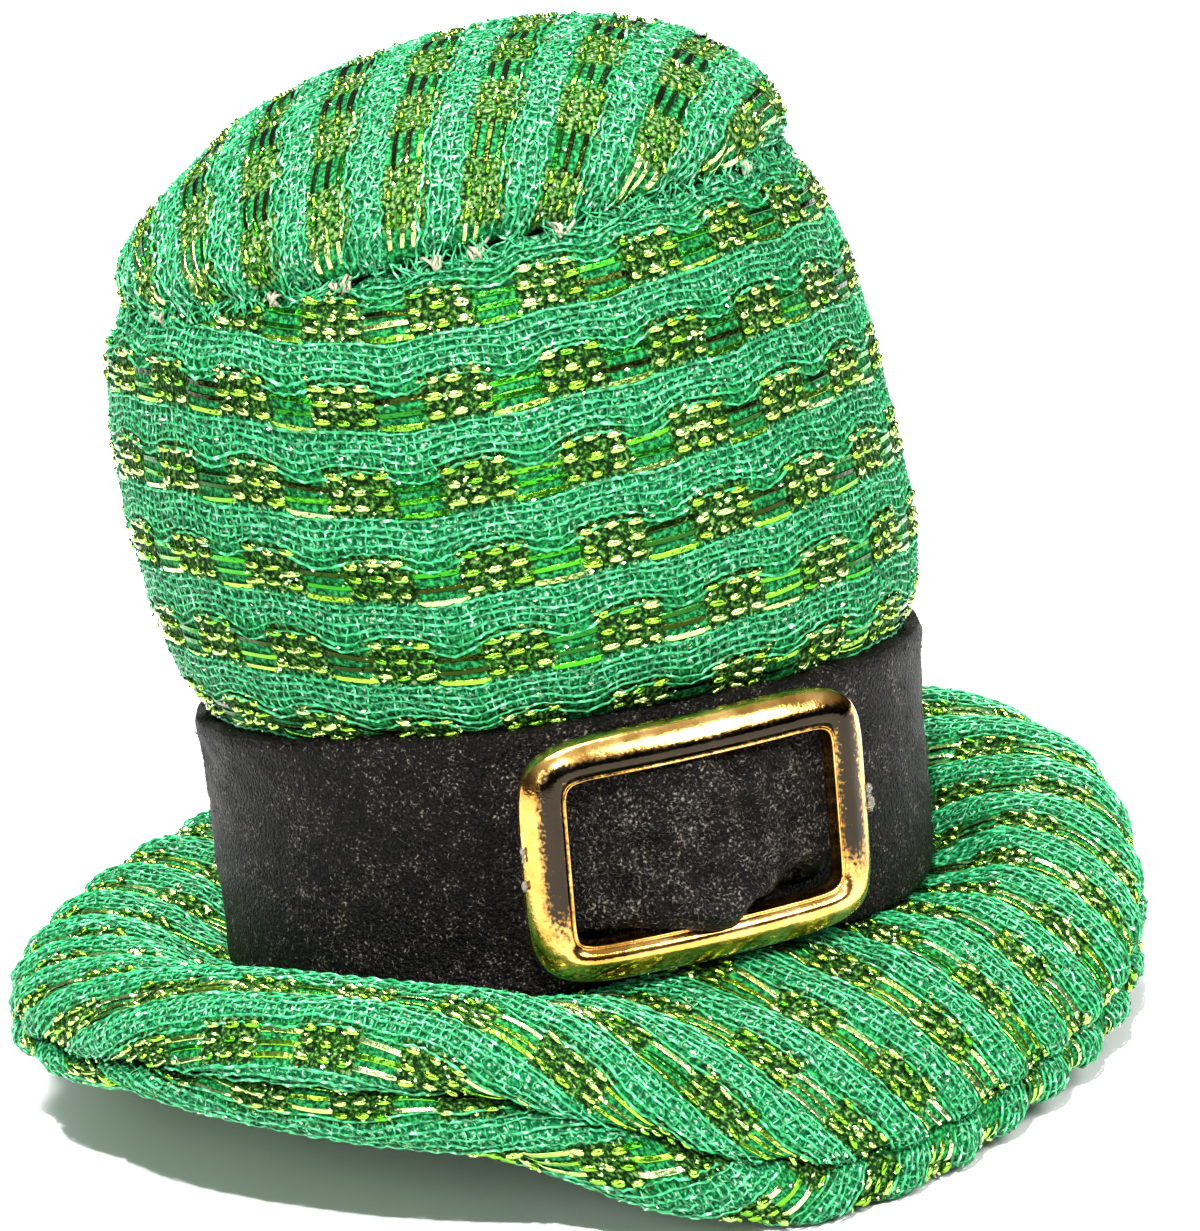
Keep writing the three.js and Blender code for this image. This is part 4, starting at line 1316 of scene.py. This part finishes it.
rings = np.array([oblong_line(outward) for outward in section[:, 0]])
frame_across, frame_up = rings[..., 0], rings[..., 1]
frame_out = BUCKLE_STAND_OFF + np.broadcast_to(section[:, 1:], frame_across.shape)
frame_points = buckle_place(frame_across, frame_up, bent(frame_across, frame_out)).reshape(-1, 3)
frame_faces = ring_faces(OUTLINE_STEPS, len(section), True)

around = np.arange(MIDDLE_BAR_SIDES)
bar_heights = np.linspace(-half_up, half_up, MIDDLE_BAR_ROWS)
bar_up, spin = np.meshgrid(bar_heights, FULL_TURN * around / MIDDLE_BAR_SIDES, indexing="ij")
bar_out = MIDDLE_BAR_OUT + MIDDLE_BAR_RADIUS * np.sin(spin)
bar_points = buckle_place(MIDDLE_BAR_RADIUS * np.cos(spin), bar_up, bar_out).reshape(-1, 3)
bar_faces = ring_faces(MIDDLE_BAR_SIDES, MIDDLE_BAR_ROWS, False) + len(frame_points)
bar_caps = np.stack([around[::-1], around + MIDDLE_BAR_SIDES * (MIDDLE_BAR_ROWS - 1)]) + len(frame_points)
buckle_points = np.concatenate([frame_points, bar_points])
buckle_body = new_mesh("buckle_gold", buckle_points, [frame_faces, bar_faces, bar_caps], gold_finish())

# Painted dark reflection: how much of the near black each point in the groove of the upper and side bars
# gets
on_side = np.clip((np.abs(frame_across) - half_right + 1.8) / 1.8, 0, 1)
painted_dark_middle = np.interp(on_side, (0, 1), PAINTED_DARK_MIDDLE)
painted_dark_half = np.interp(on_side, (0, 1), PAINTED_DARK_HALF)
painted_dark_share = np.clip(1 - ((section[:, :1] - painted_dark_middle) / painted_dark_half) ** 2, 0, 1) ** 0.7
painted_dark_share *= section[:, 1:] > 0.9
painted_dark_share *= np.clip((frame_up + half_up - 0.8) / 3.0, 0, 1)  # no painted dark reflection on the lower bar, which faces up to the light
keep_amount(buckle_body, "painted_dark_reflection", np.concatenate([painted_dark_share.ravel(), np.zeros(len(bar_points))]))
on_hat(buckle_body)
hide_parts("buckle")

# Torn gates: the side of the frame, the height, and the size of each crumb
CRUMBS = (
    (1, 0.3, 0.27),
    (1, -0.55, 0.34),
    (1, -0.1, 0.2),
    (-1, 1.1, 0.22),
    (-1, 0.7, 0.16),
    (-1, -0.7, 0.24),
)
CRUMB_OUT = 2.5
CRUMB_FORM = (0.7, 1.3, 0.6)  # flatter than a ball, and longer upwards
CRUMB_SIDES, CRUMB_ROWS = 9, 6
around = np.arange(CRUMB_SIDES)
crumb_levels = np.linspace(-1.2, 1.2, CRUMB_ROWS)
level, spin = np.meshgrid(crumb_levels, FULL_TURN * around / CRUMB_SIDES, indexing="ij")
ball = np.stack([np.cos(level) * np.cos(spin), np.cos(level) * np.sin(spin), np.sin(level)], axis=-1)
ball = ball.reshape(-1, 3)
ball_ends = np.stack([around[::-1], around + CRUMB_SIDES * (CRUMB_ROWS - 1)])
crumb_points = []
for side, up, size in CRUMBS:
    rough = ball * size * chance.uniform(0.5, 1.25, (len(ball), 1)) * CRUMB_FORM
    across = side * (BUCKLE_WIDTH / 2 + 0.35 * size)
    out = bent(across, CRUMB_OUT)
    crumb_points.append(buckle_place(across + rough[:, 0], up + rough[:, 1], out + rough[:, 2]))
torn = {"Base_Color": (0.36, 0.33, 0.27, 1.0), "Roughness": 0.2, "Transmission_Weight": 0.7}
torn_plastic, _, _ = finish("torn_plastic", **torn)
crumb_faces = copies([ring_faces(CRUMB_SIDES, CRUMB_ROWS, False), ball_ends], len(ball), len(CRUMBS))
crumb_body = new_mesh("buckle_torn_gates", np.concatenate(crumb_points), crumb_faces, torn_plastic)
on_hat(crumb_body)


# Hair clip
# A plain stamped and plated steel clip under the brim: an upper plate that is sewn to the hat, and a lower
# arm that holds the hair. It is hidden in use.

CLIP_TURN = math.radians(21)


def steel_finish():
    """Plated steel with drawn lines along the clip and faint handling marks."""
    material, tree, shader = finish("clip_plated_steel", Metallic=1.0, Roughness=0.3)
    place = own_place(tree)
    drawn = {"Rotation": (0.0, 0.0, CLIP_TURN), "Scale": (60.0, 2400.0, 2400.0)}
    lines = noise(tree, node(tree, "Mapping", Vector=place, **drawn).outputs[0], 1.0, 3.0)
    marks = noise(tree, place, 180.0, 4.0)
    steel = [(0.35, (0.42, 0.43, 0.45)), (0.7, (0.66, 0.67, 0.68))]
    coloured(tree, shader, colour_steps(tree, marks, steel))
    tree.links.new(ranged(tree, lines, 0.3, 0.7, 0.2, 0.42), shader.inputs["Roughness"])
    bumped(tree, shader, lines, 0.15, 0.00005)
    return material


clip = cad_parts["hair_clip"]
clip.data.materials.clear()
clip.data.materials.append(steel_finish())


# Floor, light and camera
# A pale table top, a hard main light over the camera for the foil's glints, a soft one at the right that
# lies along the buckle's bars, a weak fill from the left, one from above, and the picture's camera.

FLOOR_HALF = 1500.0
HAT_MIDDLE = Vector((0.0, 0.0, 0.028))  # in metres, as are the places of the lights and the camera
PICTURE_SIZE = (1200, 1231)
AZIMUTH, ELEVATION, ROLL = math.radians(-21), math.radians(18), math.radians(5.5)
DISTANCE = 0.420
FOCAL_PIXELS = 7728
SENSOR = 36.0
LOOKS_AT = Vector((0.00254, -0.000525, 0.02499))


def table_finish():
    """Pale grey table top with faint clouds."""
    material, tree, shader = finish("pale_table", Roughness=0.55)
    clouds = noise(tree, own_place(tree), 30.0, 3.0)
    pale = [(0.3, (0.84, 0.84, 0.84)), (0.7, (0.88, 0.88, 0.88))]
    coloured(tree, shader, colour_steps(tree, clouds, pale))
    return material


floor_corners = np.array([(-1, -1, 0), (1, -1, 0), (1, 1, 0), (-1, 1, 0)], float) * FLOOR_HALF
floor = new_mesh("table_top", floor_corners, [np.array([[0, 1, 2, 3]])], table_finish())


def light_up(name, data, place, way):
    """Puts a light into the scene at a place, turned a certain way."""
    obj = bpy.data.objects.new(name, data)
    obj.location = place
    obj.rotation_euler = Vector(way).to_track_quat("-Z", "Y").to_euler()
    bpy.context.scene.collection.objects.link(obj)


def lamp(name, place, power, size):
    """Square soft light at a place, turned to the hat."""
    data = bpy.data.lights.new(name, "AREA")
    data.energy = power
    data.size = size
    light_up(name, data, place, HAT_MIDDLE - Vector(place))


lamp("soft_light", (0.34, -0.56, 0.62), 7.0, 0.36)
lamp("fill_light", (-0.50, -0.40, 0.30), 1.5, 0.3)
lamp("top_light", (-0.06, 0.16, 0.85), 17.0, 0.35)
sun = bpy.data.lights.new("main_light", "SUN")
sun.energy = 4.8
sun.angle = math.radians(1.5)
light_up("main_light", sun, (0.0, 0.0, 0.0), (0.28, 0.62, -0.73))

world = bpy.data.worlds.new("studio")
world.use_nodes = True
sky_tree = world.node_tree
sky_place = node(sky_tree, "TexCoord").outputs["Generated"]
_, _, sky_height = node(sky_tree, "SeparateXYZ", i0=sky_place).outputs
dim = [(0.0, (0.03, 0.03, 0.03)), (0.35, (0.1, 0.1, 0.11))]
clear = [(0.7, (0.5, 0.52, 0.55)), (1.0, (0.9, 0.95, 1.0))]
background = sky_tree.nodes["Background"]
sky_tree.links.new(colour_steps(sky_tree, sky_height, dim + clear), background.inputs["Color"])
background.inputs["Strength"].default_value = 0.95
bpy.context.scene.world = world
bpy.context.scene.view_settings.view_transform = "Standard"

level_reach = math.cos(ELEVATION)
back = Vector((math.sin(AZIMUTH) * level_reach, -math.cos(AZIMUTH) * level_reach, math.sin(ELEVATION)))
level = Vector((math.cos(AZIMUTH), math.sin(AZIMUTH), 0.0))
upright = back.cross(level)
right = math.cos(ROLL) * level - math.sin(ROLL) * upright
above = math.sin(ROLL) * level + math.cos(ROLL) * upright
camera_data = bpy.data.cameras.new("picture_camera")
camera_data.sensor_width = SENSOR
camera_data.lens = SENSOR * FOCAL_PIXELS / max(PICTURE_SIZE)
camera_data.clip_start = 0.01
camera = bpy.data.objects.new("picture_camera", camera_data)
camera_turn = Matrix((right, above, back)).transposed().to_4x4()
camera.matrix_world = Matrix.Translation(LOOKS_AT + DISTANCE * back) @ camera_turn
bpy.context.scene.collection.objects.link(camera)
bpy.context.scene.camera = camera
